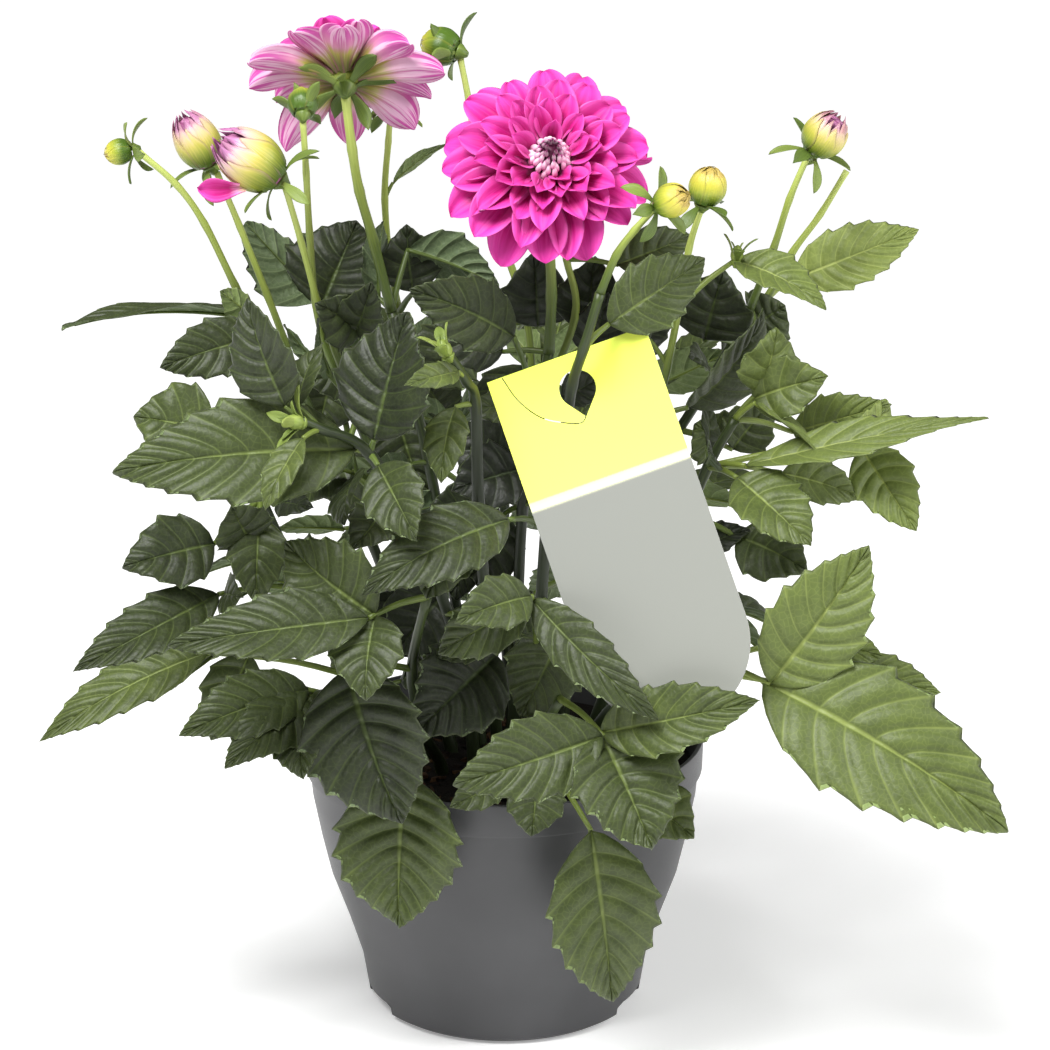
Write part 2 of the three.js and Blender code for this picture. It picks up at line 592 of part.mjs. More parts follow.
// A thin blade with a knife edge: both faces share one outline and part along the midrib.
// outline: [u, v] down one side, u along the blade from 0 to 1, v the share of the half width.
// arch bows the blade over its length, fold lifts its two sides like a shallow V.
function blade({ base, tip, face, width, outline, ribs, arch, fold, thickness, stalk }) {
  const { along, up, side } = bladeFrame(base, tip, face);
  const length = base.distanceTo(tip);
  const place = (u, v, rise) => base.clone()
    .addScaledVector(along, u * length)
    .addScaledVector(side, v)
    .addScaledVector(up, rise + arch * length * 4 * u * (1 - u) + fold * Math.abs(v));
  const start = stalk ? stalk({ along, side }) : [0, 1, 2, 3].fill([[0, base]]);
  const ribChain = (sign, first) => [
    ...first, ...ribs.map((u) => [u, place(u, 0, sign * thickness / 2)]), [1, tip],
  ];
  const rimChain = (sign, first) => [
    ...first, ...outline.map(([u, v]) => [u, place(u, sign * v * width / 2, 0)]), [1, tip],
  ];
  return bladeSolid(
    [ribChain(1, start[0]), ribChain(-1, start[1])],
    [rimChain(1, start[2]), rimChain(-1, start[3])],
  );
}

// Leaves

const leafHalf = (u) => Math.sin(Math.PI * u ** 0.75) ** 0.85;

// The rim of a leaflet down one side: a rounded shoulder, then teeth that point forward
function toothedSide(teeth) {
  const side = [LEAF_SHOULDER];
  for (let k = 1; k <= teeth; k += 1) {
    const u = FIRST_TOOTH + TOOTHED_SHARE * k / teeth;
    side.push([u, leafHalf(u) * TOOTH_OUT]);
    side.push([u + TOOTH_STEP, leafHalf(u) * TOOTH_IN]);
  }
  return side;
}

// The upper face of a leaf looks outwards from the plant and up
const outwardFace = ({ x, y }) => new THREE.Vector3(x, y, LEAF_UPWARD * Math.hypot(x, y)).normalize();

function leaflet(base, [x, y, z, width, face], stalk) {
  const tip = new THREE.Vector3(x, y, z);
  const middle = base.clone().add(tip).multiplyScalar(0.5);
  const { teeth, ribs } = LEAFLET_SIZES.find(({ least }) => width >= least);
  const outline = toothedSide(teeth);
  return blade({
    base,
    tip,
    face: face ? vec(face) : outwardFace(middle),
    width,
    outline: stalk ? outline : [LEAF_NECK, ...outline],
    ribs,
    arch: LEAF_ARCH,
    fold: LEAF_FOLD,
    thickness: LEAF_THICKNESS,
    stalk,
  });
}

// A leaf of one or more leaflets that spring from one joint. The first carries the straight stalk.
function leaf({ from, joint, blades }) {
  const start = vec(from);
  const end = vec(joint);
  const way = end.clone().sub(start).normalize();
  const stalk = ({ along, side }) => {
    const stations = [
      [-1, start, way, PETIOLE_RADIUS],
      [0, end, way.clone().add(along).normalize(), PETIOLE_TOP_RADIUS],
    ];
    const chains = [[], [], [], []];
    stations.forEach(([u, centre, facing, radius]) => {
      const across = side.clone().addScaledVector(facing, -side.dot(facing)).normalize();
      const up = new THREE.Vector3().crossVectors(facing, across);
      [up, up.clone().negate(), across, across.clone().negate()].forEach((outward, chain) => {
        chains[chain].push([u, centre.clone().addScaledVector(outward, radius)]);
      });
    });
    return chains;
  };
  const back = end.clone().addScaledVector(way, -LEAFLET_SET_BACK);
  return blades.map((row, k) => (k === 0 ? leaflet(end, row, stalk) : leaflet(back, row, null)));
}

// Any two directions square to an axis
function crossAxes(axis) {
  const helper = Math.abs(axis.z) < 0.8 ? new THREE.Vector3(0, 0, 1) : new THREE.Vector3(0, 1, 0);
  const one = new THREE.Vector3().crossVectors(axis, helper).normalize();
  return [one, new THREE.Vector3().crossVectors(axis, one)];
}

// The green seat of a flower or bud at the end of its stem: a small cone whose rim runs out in a star of
// narrow bracts. droop turns the bracts back towards the stem, every second one a little more.
function flowerSeat({ at, axis, seat, bracts, length, width, droop }) {
  const direction = vec(axis).normalize();
  const [one, two] = crossAxes(direction);
  const place = (angle, radius, height) => vec(at)
    .addScaledVector(one, radius * Math.cos(angle))
    .addScaledVector(two, radius * Math.sin(angle))
    .addScaledVector(direction, height);
  const rim = [];
  for (let k = 0; k < bracts; k += 1) {
    const angle = 2 * Math.PI * k / bracts;
    const lean = radians(droop + (k % 2 ? BRACT_DROOP_MORE : BRACT_DROOP_LESS));
    const bract = (share, turn) => place(
      angle + turn,
      seat + share * length * Math.cos(lean),
      -share * length * Math.sin(lean),
    );
    const shoulder = Math.atan2(width / 2, seat + BRACT_WIDEST * length);
    rim.push(place(angle - Math.PI / bracts, seat, -0.1 * seat));
    rim.push(bract(BRACT_WIDEST, -shoulder), bract(1, 0), bract(BRACT_WIDEST, shoulder));
  }
  const points = [place(0, 0, 0), place(0, 0, -1.1 * seat), ...rim];
  const triangles = rim.flatMap((_, i) => {
    const here = 2 + i;
    const next = 2 + (i + 1) % rim.length;
    return [0, here, next, 1, next, here];
  });
  return solidOf(points.flatMap(({ x, y, z }) => [x, y, z]), triangles);
}

// A young shoot bud: a small green head in upright bracts
function youngBud({ at, axis, size }) {
  const direction = vec(axis).normalize();
  const head = YOUNG_HEAD.map(([radius, height]) => [radius * size, height * size]);
  const cup = { at, axis, seat: 0.4 * size, bracts: 4, length: 1.8 * size, width: 0.7 * size, droop: -50 };
  return [turned(head, YOUNG_HEAD_SIDES, vec(at), direction), flowerSeat(cup)];
}

// Flower heads

// A bud in its overlapping scales: a turned body whose ridges are the scales' middles.
// On an opening bud the scales' tips stand apart round a hollow.
function budBody({ at, axis, wide, long, scales, open }) {
  const direction = vec(axis).normalize();
  const foot = vec(at).addScaledVector(direction, GAP);
  const points = (open ? BUD_PARTED : BUD_CLOSED).map(([r, h]) => new THREE.Vector2(r * wide, h * long));
  const body = new THREE.LatheGeometry(points, 2 * scales);
  const place = body.attributes.position;
  for (let i = 0; i < place.count; i += 1) {
    const valley = Math.floor(i / points.length) % 2 === 1;
    const notched = open && valley && i % points.length === PARTED_TIP_ROW;
    const spread = valley ? VALLEY : RIDGE;
    place.setXYZ(i, place.getX(i) * spread, place.getY(i) * (notched ? NOTCH : 1), place.getZ(i) * spread);
  }
  return solidOfGeometry(standOn(body, foot, direction));
}

// A measure that changes evenly from the outermost petal to the innermost
const between = ([outermost, change], inward) => outermost + change * inward;

// Petals in a golden-angle spiral, from the wide outer ones up to the small ones round the centre
function bloomPetals({ at, axis, radius, petals, roll }) {
  const direction = vec(axis).normalize();
  const foot = vec(at);
  const [one, two] = crossAxes(direction);
  const solids = [turned(BLOOM_CORE, BLOOM_CORE_SIDES, foot, direction)];
  for (let k = 0; k < petals; k += 1) {
    const inward = k / (petals - 1);
    const angle = radians(roll + GOLDEN_ANGLE * k);
    const lift = radians(between(PETAL_LIFT, inward));
    const out = one.clone().multiplyScalar(Math.cos(angle)).addScaledVector(two, Math.sin(angle));
    const base = foot.clone()
      .addScaledVector(out, between(PETAL_ROOT_RADIUS, inward))
      .addScaledVector(direction, between(PETAL_ROOT_HEIGHT, inward));
    const way = out.clone().multiplyScalar(Math.cos(lift)).addScaledVector(direction, Math.sin(lift));
    solids.push(blade({
      base,
      tip: base.clone().addScaledVector(way, radius * between(PETAL_LENGTH, inward)),
      face: direction.clone().multiplyScalar(Math.cos(lift)).addScaledVector(out, -Math.sin(lift)),
      width: radius * between(PETAL_WIDTH, inward),
      ...(inward < 0.5 ? OUTER_PETAL : INNER_PETAL),
      arch: between(PETAL_ARCH, inward),
      fold: PETAL_FOLD,
      thickness: PETAL_THICKNESS,
    }));
  }
  return join(solids);
}

// The closed florets at the middle of a bloom: a dome whose every second point stands out as a floret's tip
function bloomCentre({ at, axis }) {
  const direction = vec(axis).normalize();
  const foot = vec(at).addScaledVector(direction, BLOOM_CORE_TOP + GAP);
  const body = new THREE.LatheGeometry(FLORET_DOME.map(([r, h]) => new THREE.Vector2(r, h)), 2 * FLORETS);
  const place = body.attributes.position;
  for (let i = 0; i < place.count; i += 1) {
    const row = i % FLORET_DOME.length;
    const column = Math.floor(i / FLORET_DOME.length);
    const tip = row > 1 && row < FLORET_DOME.length - 1 && (row + column) % 2 === 0;
    const reach = tip ? FLORET_REACH : 1;
    place.setXYZ(i, place.getX(i) * reach, place.getY(i) + (tip ? FLORET_RISE : 0), place.getZ(i) * reach);
  }
  return solidOfGeometry(standOn(body, foot, direction));
}

// Pot, soil and tag

function pot() {
  const profile = [[0, 0], ...POT_OUTLINE, ...POT_INSIDE, [0, POT_FLOOR]];
  const up = new THREE.Vector3(0, 0, 1);
  const shell = turned(profile, POT_SEGMENTS, new THREE.Vector3(), up);
  return SLOT_AZIMUTHS.reduce((body, azimuth) => {
    const slot = new THREE.BoxGeometry(SLOT_DEPTH, SLOT_WIDTH, 2 * SLOT_HEIGHT);
    slot.translate(POT_FOOT_RADIUS, 0, 0);
    slot.rotateZ(radians(azimuth));
    return body.subtract(solidOfGeometry(slot));
  }, shell);
}

function soil() {
  const profile = [[0, SOIL_OUTLINE[0][1]], ...SOIL_OUTLINE, [0, SOIL_CROWN]];
  const filled = turned(profile, POT_SEGMENTS, new THREE.Vector3(), new THREE.Vector3(0, 0, 1));
  return ALL_SHOOTS.reduce((body, { foot }) => {
    const radius = (MAIN_RADIUS + GAP) / Math.cos(Math.PI / STEM_SIDES);
    const hole = new THREE.CylinderGeometry(radius, radius, 60, STEM_SIDES);
    hole.rotateX(Math.PI / 2);
    hole.translate(foot[0], foot[1], STEM_SEAT - GAP + 30);
    return body.subtract(solidOfGeometry(hole));
  }, filled);
}

function hangTag() {
  const half = TAG_WIDTH / 2;
  const card = new THREE.Shape();
  card.moveTo(0, 0);
  card.lineTo(TAG_WIDTH, 0);
  card.lineTo(TAG_WIDTH, TAG_LENGTH - half);
  card.absarc(half, TAG_LENGTH - half, half, 0, Math.PI, false);
  card.lineTo(0, 0);
  const hole = new THREE.Path();
  hole.absarc(half, TAG_HOLE_DROP, TAG_HOLE_RADIUS, radians(42), radians(138), true);
  hole.lineTo(half, TAG_HOLE_DROP + TAG_HOLE_POINT);
  hole.closePath();
  card.holes.push(hole);
  const sheet = { depth: TAG_THICKNESS, bevelEnabled: false, curveSegments: 8 };
  const geometry = new THREE.ExtrudeGeometry(card, sheet);
  const across = vec(TAG_TOP_EDGE).normalize();
  const fall = vec(TAG_FALL);
  const down = fall.addScaledVector(across, -fall.dot(across)).normalize();
  const back = new THREE.Vector3().crossVectors(across, down);
  const place = new THREE.Matrix4().makeBasis(across, down, back).setPosition(vec(TAG_CORNER));
  geometry.applyMatrix4(place);
  return solidOfGeometry(geometry);
}

// A whole leafy stem with its leaves, flower stems, young buds and the green seats of its flowers
function shoot({ name, foot, main, stalks, leaves, young }) {
  const [x, y] = foot;
  const path = [[x, y, STEM_SEAT], [x, y, STEM_RISE], ...main].map(vec);
  const seats = [
    ...BUDS.filter(({ stem }) => stem === name)
      .map(({ at, axis, wide }) => ({
        at, axis, seat: 0.2 * wide + 2, bracts: BUD_BRACTS, length: 8 + 0.35 * wide, width: 6, droop: 12,
      })),
    ...BLOOMS.filter(({ stem }) => stem === name)
      .map(({ at, axis }) => ({ at, axis, ...BLOOM_SEAT })),
  ];
  return join([
    rod(path, MAIN_RADIUS, MAIN_TOP_RADIUS, STEM_SIDES),
    ...stalks.map((points) => rod(points.map(vec), STALK_RADIUS, STALK_TOP_RADIUS, STEM_SIDES)),
    ...leaves.flatMap(leaf),
    ...young.flatMap(youngBud),
    ...seats.map(flowerSeat),
  ]);
}

const COLOURS = {
  pot: [0x5a5b5c, 0.45],
  soil: [0x1d1712, 0.95],
  tag: [0xeef24e, 0.4],
  leaf: [0x3c5a2c, 0.5],
  bud: [0xb9c95a, 0.5],
  petal: [0xc8189a, 0.6],
  floret: [0xc78fb4, 0.6],
};

const plant = new THREE.Group();

function add(name, solid, [color, roughness]) {
  const material = new THREE.MeshStandardMaterial({ color, roughness, metalness: 0 });
  const mesh = new THREE.Mesh(geometryOf(solid), material);
  mesh.name = name;
  plant.add(mesh);
}

add('pot', pot(), COLOURS.pot);
add('soil', soil(), COLOURS.soil);
add('hang_tag', hangTag(), COLOURS.tag);
ALL_SHOOTS.forEach((plan) => add(plan.name, shoot(plan), COLOURS.leaf));
BUDS.forEach((bud) => add(bud.name, budBody(bud), COLOURS.bud));
BLOOMS.forEach((bloom) => {
  add(`${bloom.name}_petals`, bloomPetals(bloom), COLOURS.petal);
  add(`${bloom.name}_centre`, bloomCentre(bloom), COLOURS.floret);
});

export default plant;
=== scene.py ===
# %% [markdown]
# # A dahlia in its growing pot
# This lesson dresses the plain solids of a potted dahlia with finer pieces and real finishes.
# The solids come ready made, in metres, with +Z up and the pot standing on the origin.
# Each natural piece is rebuilt from the same measures as its solid, with veins, teeth and pleats,
# so it stays exactly where the solid is.

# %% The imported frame
import math
import random

import bpy
import numpy as np
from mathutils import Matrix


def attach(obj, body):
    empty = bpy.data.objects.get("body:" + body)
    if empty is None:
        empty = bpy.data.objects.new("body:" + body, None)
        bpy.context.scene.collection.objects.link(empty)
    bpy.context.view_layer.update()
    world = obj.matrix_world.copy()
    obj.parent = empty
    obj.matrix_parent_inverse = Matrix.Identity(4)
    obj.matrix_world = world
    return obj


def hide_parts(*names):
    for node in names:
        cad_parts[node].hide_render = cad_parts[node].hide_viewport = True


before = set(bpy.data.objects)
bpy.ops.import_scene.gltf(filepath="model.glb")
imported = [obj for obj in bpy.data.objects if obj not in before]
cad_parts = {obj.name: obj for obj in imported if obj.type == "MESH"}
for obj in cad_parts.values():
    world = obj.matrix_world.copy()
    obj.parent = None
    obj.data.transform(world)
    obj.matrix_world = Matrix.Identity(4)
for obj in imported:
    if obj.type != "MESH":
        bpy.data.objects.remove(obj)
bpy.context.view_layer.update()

# %% [markdown]
# ## Colours and nodes
# A colour picked from a swatch is written as an sRGB hex value, but shaders work in linear light.
# One function turns the first into the second. Another adds a shader node, sets its own options and
# links or fills its inputs, so that a material reads as a short list of what it is made of.

# %% Colour and node helpers
MM = 0.001


def linear(swatch):
    """An sRGB hex colour such as #3e5a2c as linear red, green, blue and alpha."""
    shares = [int(swatch[k:k + 2], 16) / 255 for k in (1, 3, 5)]
    return [*(c / 12.92 if c <= 0.04045 else ((c + 0.055) / 1.055) ** 2.4 for c in shares), 1.0]


def add_node(material, kind, inputs=(), stops=(), **options):
    """Add a shader node; an input is a value, or the output of another node that feeds it."""
    node = material.node_tree.nodes.new("ShaderNode" + kind)
    for name, value in options.items():
        setattr(node, name, value)
    for name, value in dict(inputs).items():
        if isinstance(value, bpy.types.NodeSocket):
            material.node_tree.links.new(value, node.inputs[name])
        else:
            node.inputs[name].default_value = value
    if stops:
        ramp = node.color_ramp.elements
        while len(ramp) < len(stops):
            ramp.new(1.0)
        for element, (position, swatch) in zip(ramp, stops):
            element.position = position
            element.color = linear(swatch)
    return node


def new_material(name, roughness, **settings):
    """A material and its main shader, with constants set on the shader's own sockets."""
    material = bpy.data.materials.new(name)
    material.use_nodes = True
    shader = material.node_tree.nodes["Principled BSDF"]
    shader.inputs["Roughness"].default_value = roughness
    for socket, value in settings.items():
        shader.inputs[socket.replace("_", " ")].default_value = value
    return material, shader


def feed(material, shader, colour, height=None, depth_mm=0.3):
    """Link a colour, and a height whose full range stands for depth_mm, to a material's shader."""
    material.node_tree.links.new(colour, shader.inputs["Base Color"])
    if height:
        bump = add_node(material, "Bump", {"Strength": 1.0, "Distance": depth_mm * MM, "Height": height})
        material.node_tree.links.new(bump.outputs["Normal"], shader.inputs["Normal"])


print("leaf green in linear light:", [round(c, 3) for c in linear("#4a5a30")])

# %% [markdown]
# ## Closed meshes from rows of points
# A leaf, petal or bract is a thin closed sheet: an upper and a lower grid of points that share one
# rim. A stem is a tube of rings round a curve. A pot is a profile turned round an axis. Three small
# functions make these, and a fourth joins such parts into one object. Each part also carries a map
# (how far along and across), the same in millimetres, and a tone, which the materials read.

# %% Parts and thin sheets
def unit(vector):
    """The same direction with a length of one."""
    vector = np.asarray(vector, float)
    return vector / np.linalg.norm(vector)


def part(points, faces, finish, uv, flat, tone):
    """One closed part. Its faces are turned round if they look inwards."""
    points = np.asarray(points, float)
    corners = [(face[0], face[k], face[k + 1]) for face in faces for k in range(1, len(face) - 1)]
    a, b, c = (points[list(column)] for column in zip(*corners))
    if np.einsum("ij,ij->i", a - points[0], np.cross(b - points[0], c - points[0])).sum() < 0:
        faces = [face[::-1] for face in faces]
    count = len(points)
    return {
        "points": points,
        "faces": faces,
        "finish": [finish] * len(faces) if isinstance(finish, int) else finish,
        "uv": np.broadcast_to(uv, (count, 2)),
        "flat": np.broadcast_to(flat, (count, 2)),
        "tone": np.broadcast_to(tone, (count,)),
    }


def grid_faces(grid):
    """Four-sided faces between neighbouring rows and columns of a grid of point numbers."""
    corners = [grid[:-1, :-1], grid[:-1, 1:], grid[1:, 1:], grid[1:, :-1]]
    return np.stack(corners, -1).reshape(-1, 4).tolist()


def sheet(upper, lower, base, tip, uv, flat, finishes, tone):
    """A closed thin sheet: two grids that share their side columns and both end points."""
    rows, columns = upper.shape[:2]
    top = np.arange(rows * columns).reshape(rows, columns)
    under = top.copy()
    under[:, 1:-1] = rows * columns + np.arange(rows * (columns - 2)).reshape(rows, columns - 2)
    foot = rows * columns + rows * (columns - 2)
    points = np.vstack([upper.reshape(-1, 3), lower[:, 1:-1].reshape(-1, 3), [base, tip]])
    sides = []
    for grid, turn in ((top, 1), (under, -1)):
        fans = [(foot, b, a) for a, b in zip(grid[0, :-1].tolist(), grid[0, 1:].tolist())]
        fans += [(foot + 1, a, b) for a, b in zip(grid[-1, :-1].tolist(), grid[-1, 1:].tolist())]
        sides.append([tuple(face)[::turn] for face in grid_faces(grid) + fans])
    finish = [finishes[0]] * len(sides[0]) + [finishes[1]] * len(sides[1])
    carried = [
        np.vstack([m.reshape(-1, 2), m[:, 1:-1].reshape(-1, 2), [[0, 0], [m[-1, 0, 0], 0]]])
        for m in (uv, flat)
    ]
    return part(points, sides[0] + sides[1], finish, *carried, tone)


print("a grid of 3 by 4 points has", len(grid_faces(np.arange(12).reshape(3, 4))), "faces")

# %% [markdown]
# Round parts follow a smooth path through the measured points, or turn about an axis.

# %% Paths, tubes and turned bodies
def smooth_path(points, steps):
    """A smooth curve through every point, the same curve that the stems' solids follow."""
    p = np.asarray(points, float)
    p = np.vstack([2 * p[0] - p[1], p, 2 * p[-1] - p[-2]])
    t = np.arange(steps)[:, None] / steps
    spans = [
        0.5 * (2 * b + (c - a) * t + (2 * a - 5 * b + 4 * c - d) * t ** 2 + (3 * b - a - 3 * c + d) * t ** 3)
        for a, b, c, d in zip(p, p[1:], p[2:], p[3:])
    ]
    return np.vstack([*spans, p[-2:-1]])


def tube(path, radii, sides, finish, tone):
    """A closed tube of rings round a path, with a radius at each point of it."""
    path = np.asarray(path, float)
    ways = np.gradient(path, axis=0)
    ways /= np.linalg.norm(ways, axis=1)[:, None]
    across = unit(np.cross(ways[0], [0.31, 0.52, 0.8]))
    turn = np.linspace(0, 2 * math.pi, sides, endpoint=False)
    rings = []
    for centre, way, radius in zip(path, ways, np.broadcast_to(radii, len(path))):
        across = unit(across - way * (across @ way))
        other = np.cross(way, across)
        rings.append(centre + radius * (np.outer(np.cos(turn), across) + np.outer(np.sin(turn), other)))
    grid = np.arange(len(path) * sides).reshape(len(path), sides)
    closed = np.hstack([grid, grid[:, :1]])
    last = len(path) * sides
    faces = grid_faces(closed)
    faces += [(last, int(b), int(a)) for a, b in zip(closed[0], closed[0, 1:])]
    faces += [(last + 1, int(a), int(b)) for a, b in zip(closed[-1], closed[-1, 1:])]
    run = np.concatenate([[0], np.cumsum(np.linalg.norm(np.diff(path, axis=0), axis=1))])
    along = np.repeat(run, sides)
    uv = np.column_stack([along / run[-1], np.tile(turn / (2 * math.pi), len(path))])
    flat = np.column_stack([along, np.tile(turn, len(path))])
    ends = [[0, 0.5], [1, 0.5]]
    if np.ndim(tone):
        tone = np.concatenate([np.repeat(tone, sides), [tone[0], tone[-1]]])
    flat_ends = [[0, 0], [run[-1], 0]]
    points = np.vstack([*rings, path[:1], path[-1:]])
    return part(points, faces, finish, np.vstack([uv, ends]), np.vstack([flat, flat_ends]), tone)


def turned(profile, segments, foot, axis, finish, tone=0.5):
    """A profile of (radius, height) pairs, from axis to axis, turned round an axis from its foot."""
    axis = unit(axis)
    one, two = cross_axes(axis)
    turn = np.linspace(0, 2 * math.pi, segments, endpoint=False)
    rims = [(r, h) for r, h in profile if r > 1e-6]
    rings = [
        foot + axis * h + r * (np.outer(np.cos(turn), one) + np.outer(np.sin(turn), two)) for r, h in rims
    ]
    grid = np.arange(len(rims) * segments).reshape(len(rims), segments)
    closed = np.hstack([grid, grid[:, :1]])
    last = len(rims) * segments
    faces = grid_faces(closed)
    faces += [(last, int(b), int(a)) for a, b in zip(closed[0], closed[0, 1:])]
    faces += [(last + 1, int(a), int(b)) for a, b in zip(closed[-1], closed[-1, 1:])]
    points = np.vstack([*rings, [foot + axis * profile[0][1], foot + axis * profile[-1][1]]])
    run = np.linspace(0, 1, len(rims))
    uv = np.column_stack([np.repeat(run, segments), np.tile(turn / (2 * math.pi), len(rims))])
    flat = np.column_stack([np.repeat([h for _, h in rims], segments), np.tile(turn, len(rims))])
    uv = np.vstack([uv, [[0, 0.5], [1, 0.5]]])
    return part(points, faces, finish, uv, np.vstack([flat, [[0, 0], [0, 0]]]), tone)


def cross_axes(axis):
    """Any two directions square to an axis."""
    helper = (0, 0, 1) if abs(axis[2]) < 0.8 else (0, 1, 0)
    one = unit(np.cross(axis, helper))
    return one, np.cross(axis, one)


print("a path through 3 points has", len(smooth_path([(0, 0, 0), (0, 0, 9), (5, 0, 15)], 6)), "points")

# %% [markdown]
# The last helper joins parts into one object, carries their maps and tones over, and hides the plain
# solids that the object stands for.

# %% Joining parts into a piece
def make_piece(name, parts, materials, slot, *nodes, sharp=180):
    """Join parts, measured in millimetres, into one object that stands for the named solids."""
    start = np.cumsum([0] + [len(p["points"]) for p in parts])
    faces = [[i + s for i in face] for p, s in zip(parts, start.tolist()) for face in p["faces"]]
    mesh = bpy.data.meshes.new(name)
    mesh.from_pydata((np.vstack([p["points"] for p in parts]) * MM).tolist(), [], faces)
    corner = np.empty(len(mesh.loops), int)
    mesh.loops.foreach_get("vertex_index", corner)
    for layer, key in (("along_across", "uv"), ("millimetres", "flat")):
        carried = np.vstack([p[key] for p in parts])
        mesh.uv_layers.new(name=layer).data.foreach_set("uv", carried[corner].ravel())
    tones = mesh.attributes.new("tone", "FLOAT", "POINT")
    tones.data.foreach_set("value", np.concatenate([p["tone"] for p in parts]))
    mesh.polygons.foreach_set("material_index", [f for p in parts for f in p["finish"]])
    mesh.shade_smooth()
    if sharp < 180:
        mesh.set_sharp_from_angle(angle=math.radians(sharp))
    for material in materials:
        mesh.materials.append(material)
    piece = bpy.data.objects.new(name, mesh)
    bpy.context.scene.collection.objects.link(piece)
    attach(piece, "root")
    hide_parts(*nodes)
    print(f"{name}: {len(parts)} parts, {len(faces)} faces")
    return piece


# %% [markdown]
# ## A blade
# Leaves, bracts and petals are all blades: a base, a tip, a side that looks up, an outline and a form.
# The outline gives half the width along the blade, and the form gives how high each place stands.
# A slant leads the rows forward towards the rim, so that the rows of a leaf run along its side veins.

# %% The blade function
def blade(base, tip, face, width, rows, columns, outline, form, thickness, finishes, tone,
          slant=0.0, reach=1.0, sickle=0.0):
    """A closed thin blade from base to tip; rows run from 0 to 1 along it, columns from -1 to 1 across."""
    base, tip = np.asarray(base, float), np.asarray(tip, float)
    length = np.linalg.norm(tip - base)
    along = (tip - base) / length
    up = unit(np.asarray(face, float) - along * np.dot(face, along))
    side = np.cross(along, up)
    s, t = rows[:, None], columns[None, :]
    away = np.abs(t)
    lead = slant * np.sin(math.pi * s)
    u = s + lead * away ** 1.6
    v = width / 2 * outline(s + lead) * (1 + (reach - 1) * away ** 3) * t
    rise = form(u, t, v, length)
    body = thickness / 2 * (1 - away ** 6)
    offset = v + sickle * length * 4 * u * (1 - u)
    middle = base + u[..., None] * length * along + offset[..., None] * side
    upper = middle + (rise + body)[..., None] * up
    lower = middle + (rise - body)[..., None] * up
    one, zero = np.ones((1, 1)), np.zeros((1, 1))
    end = tip + form(one, zero, zero, length)[0, 0] * up
    uv = np.stack([s + 0 * t, t + 0 * s], -1)
    flat = np.stack([u * length, v], -1)
    return sheet(upper, lower, base, end, uv, flat, finishes, tone)


# %% [markdown]
# ## The growing pot
# The pot is polypropylene, injection moulded in grey. Such a pot has a satin skin with a faint grain
# from the mould, a rim band that stands a millimetre proud, and slots at the foot to let water out.
# Its wall is a profile turned round the axis, finer than the solid's, and the slots are cut with a
# boolean, which is applied so that the piece is one plain mesh.

# %% Polypropylene and the pot's shell
# half the pot's section as (radius, height): up the outside, over the rim band and down the inside
POT_PROFILE = [
    (0, 0), (61.2, 0), (61.8, 0.3), (62.3, 0.8), (66, 3), (69.5, 24), (72.6, 34), (76.3, 45.5), (84, 67),
    (88.4, 86), (92.3, 106), (93.3, 117), (93.5, 117.6), (95, 118), (95.25, 118.5), (95.75, 133),
    (95.6, 133.7), (95.1, 134), (94.3, 134), (93.7, 133.6), (93.3, 132), (82.2, 67), (67.7, 24), (64.5, 4),
    (62, 2), (0, 2),
]
POT_TURNS = 128
SLOTS = {"azimuths": (21, 159, 201, 339), "width": 32, "depth": 12, "height": 8, "foot": 66}

polypropylene, shader = new_material("moulded grey polypropylene", 0.42, IOR=1.49)
grain = add_node(polypropylene, "TexNoise", {"Scale": 900.0, "Detail": 3.0})
place = add_node(polypropylene, "NewGeometry")
clouds = add_node(polypropylene, "TexNoise",
                  {"Scale": 14.0, "Detail": 4.0, "Vector": place.outputs["Position"]})
greys = add_node(polypropylene, "ValToRGB", {"Fac": clouds.outputs["Fac"]},
                 stops=[(0.3, "#343436"), (0.55, "#3c3c3e"), (0.75, "#444446")])
feed(polypropylene, shader, greys.outputs["Color"], grain.outputs["Fac"], 0.05)


def cut(piece, cutters):
    """Take the cutters' volumes out of a piece, and leave one plain mesh."""
    for cutter in cutters:
        modifier = piece.modifiers.new("slot", "BOOLEAN")
        modifier.operation, modifier.solver, modifier.object = "DIFFERENCE", "EXACT", cutter
    graph = bpy.context.evaluated_depsgraph_get()
    mesh = bpy.data.meshes.new_from_object(piece.evaluated_get(graph))
    piece.modifiers.clear()
    piece.data = mesh
    for cutter in cutters:
        bpy.data.objects.remove(cutter)


def slot_cutter(azimuth):
    """A block across the pot's foot, turned to one of the slots."""
    half = np.array([SLOTS["depth"] / 2, SLOTS["width"] / 2, SLOTS["height"]])
    corners = np.array([(x, y, z) for x in (-1, 1) for y in (-1, 1) for z in (-1, 1)]) * half
    turn = math.radians(azimuth)
    x, y = corners[:, 0] + SLOTS["foot"], corners[:, 1]
    corners[:, 0] = x * math.cos(turn) - y * math.sin(turn)
    corners[:, 1] = x * math.sin(turn) + y * math.cos(turn)
    faces = [(0, 1, 3, 2), (4, 6, 7, 5), (0, 4, 5, 1), (2, 3, 7, 6), (0, 2, 6, 4), (1, 5, 7, 3)]
    mesh = bpy.data.meshes.new("slot")
    mesh.from_pydata((corners * MM).tolist(), [], faces)
    cutter = bpy.data.objects.new("slot", mesh)
    bpy.context.scene.collection.objects.link(cutter)
    return cutter


shell = turned(POT_PROFILE, POT_TURNS, np.zeros(3), (0, 0, 1), 0)
pot = make_piece("pot_shell", [shell], [polypropylene], "pot", "pot", sharp=32)
cut(pot, [slot_cutter(azimuth) for azimuth in SLOTS["azimuths"]])
print("pot shell:", len(pot.data.polygons), "faces with its slots cut")

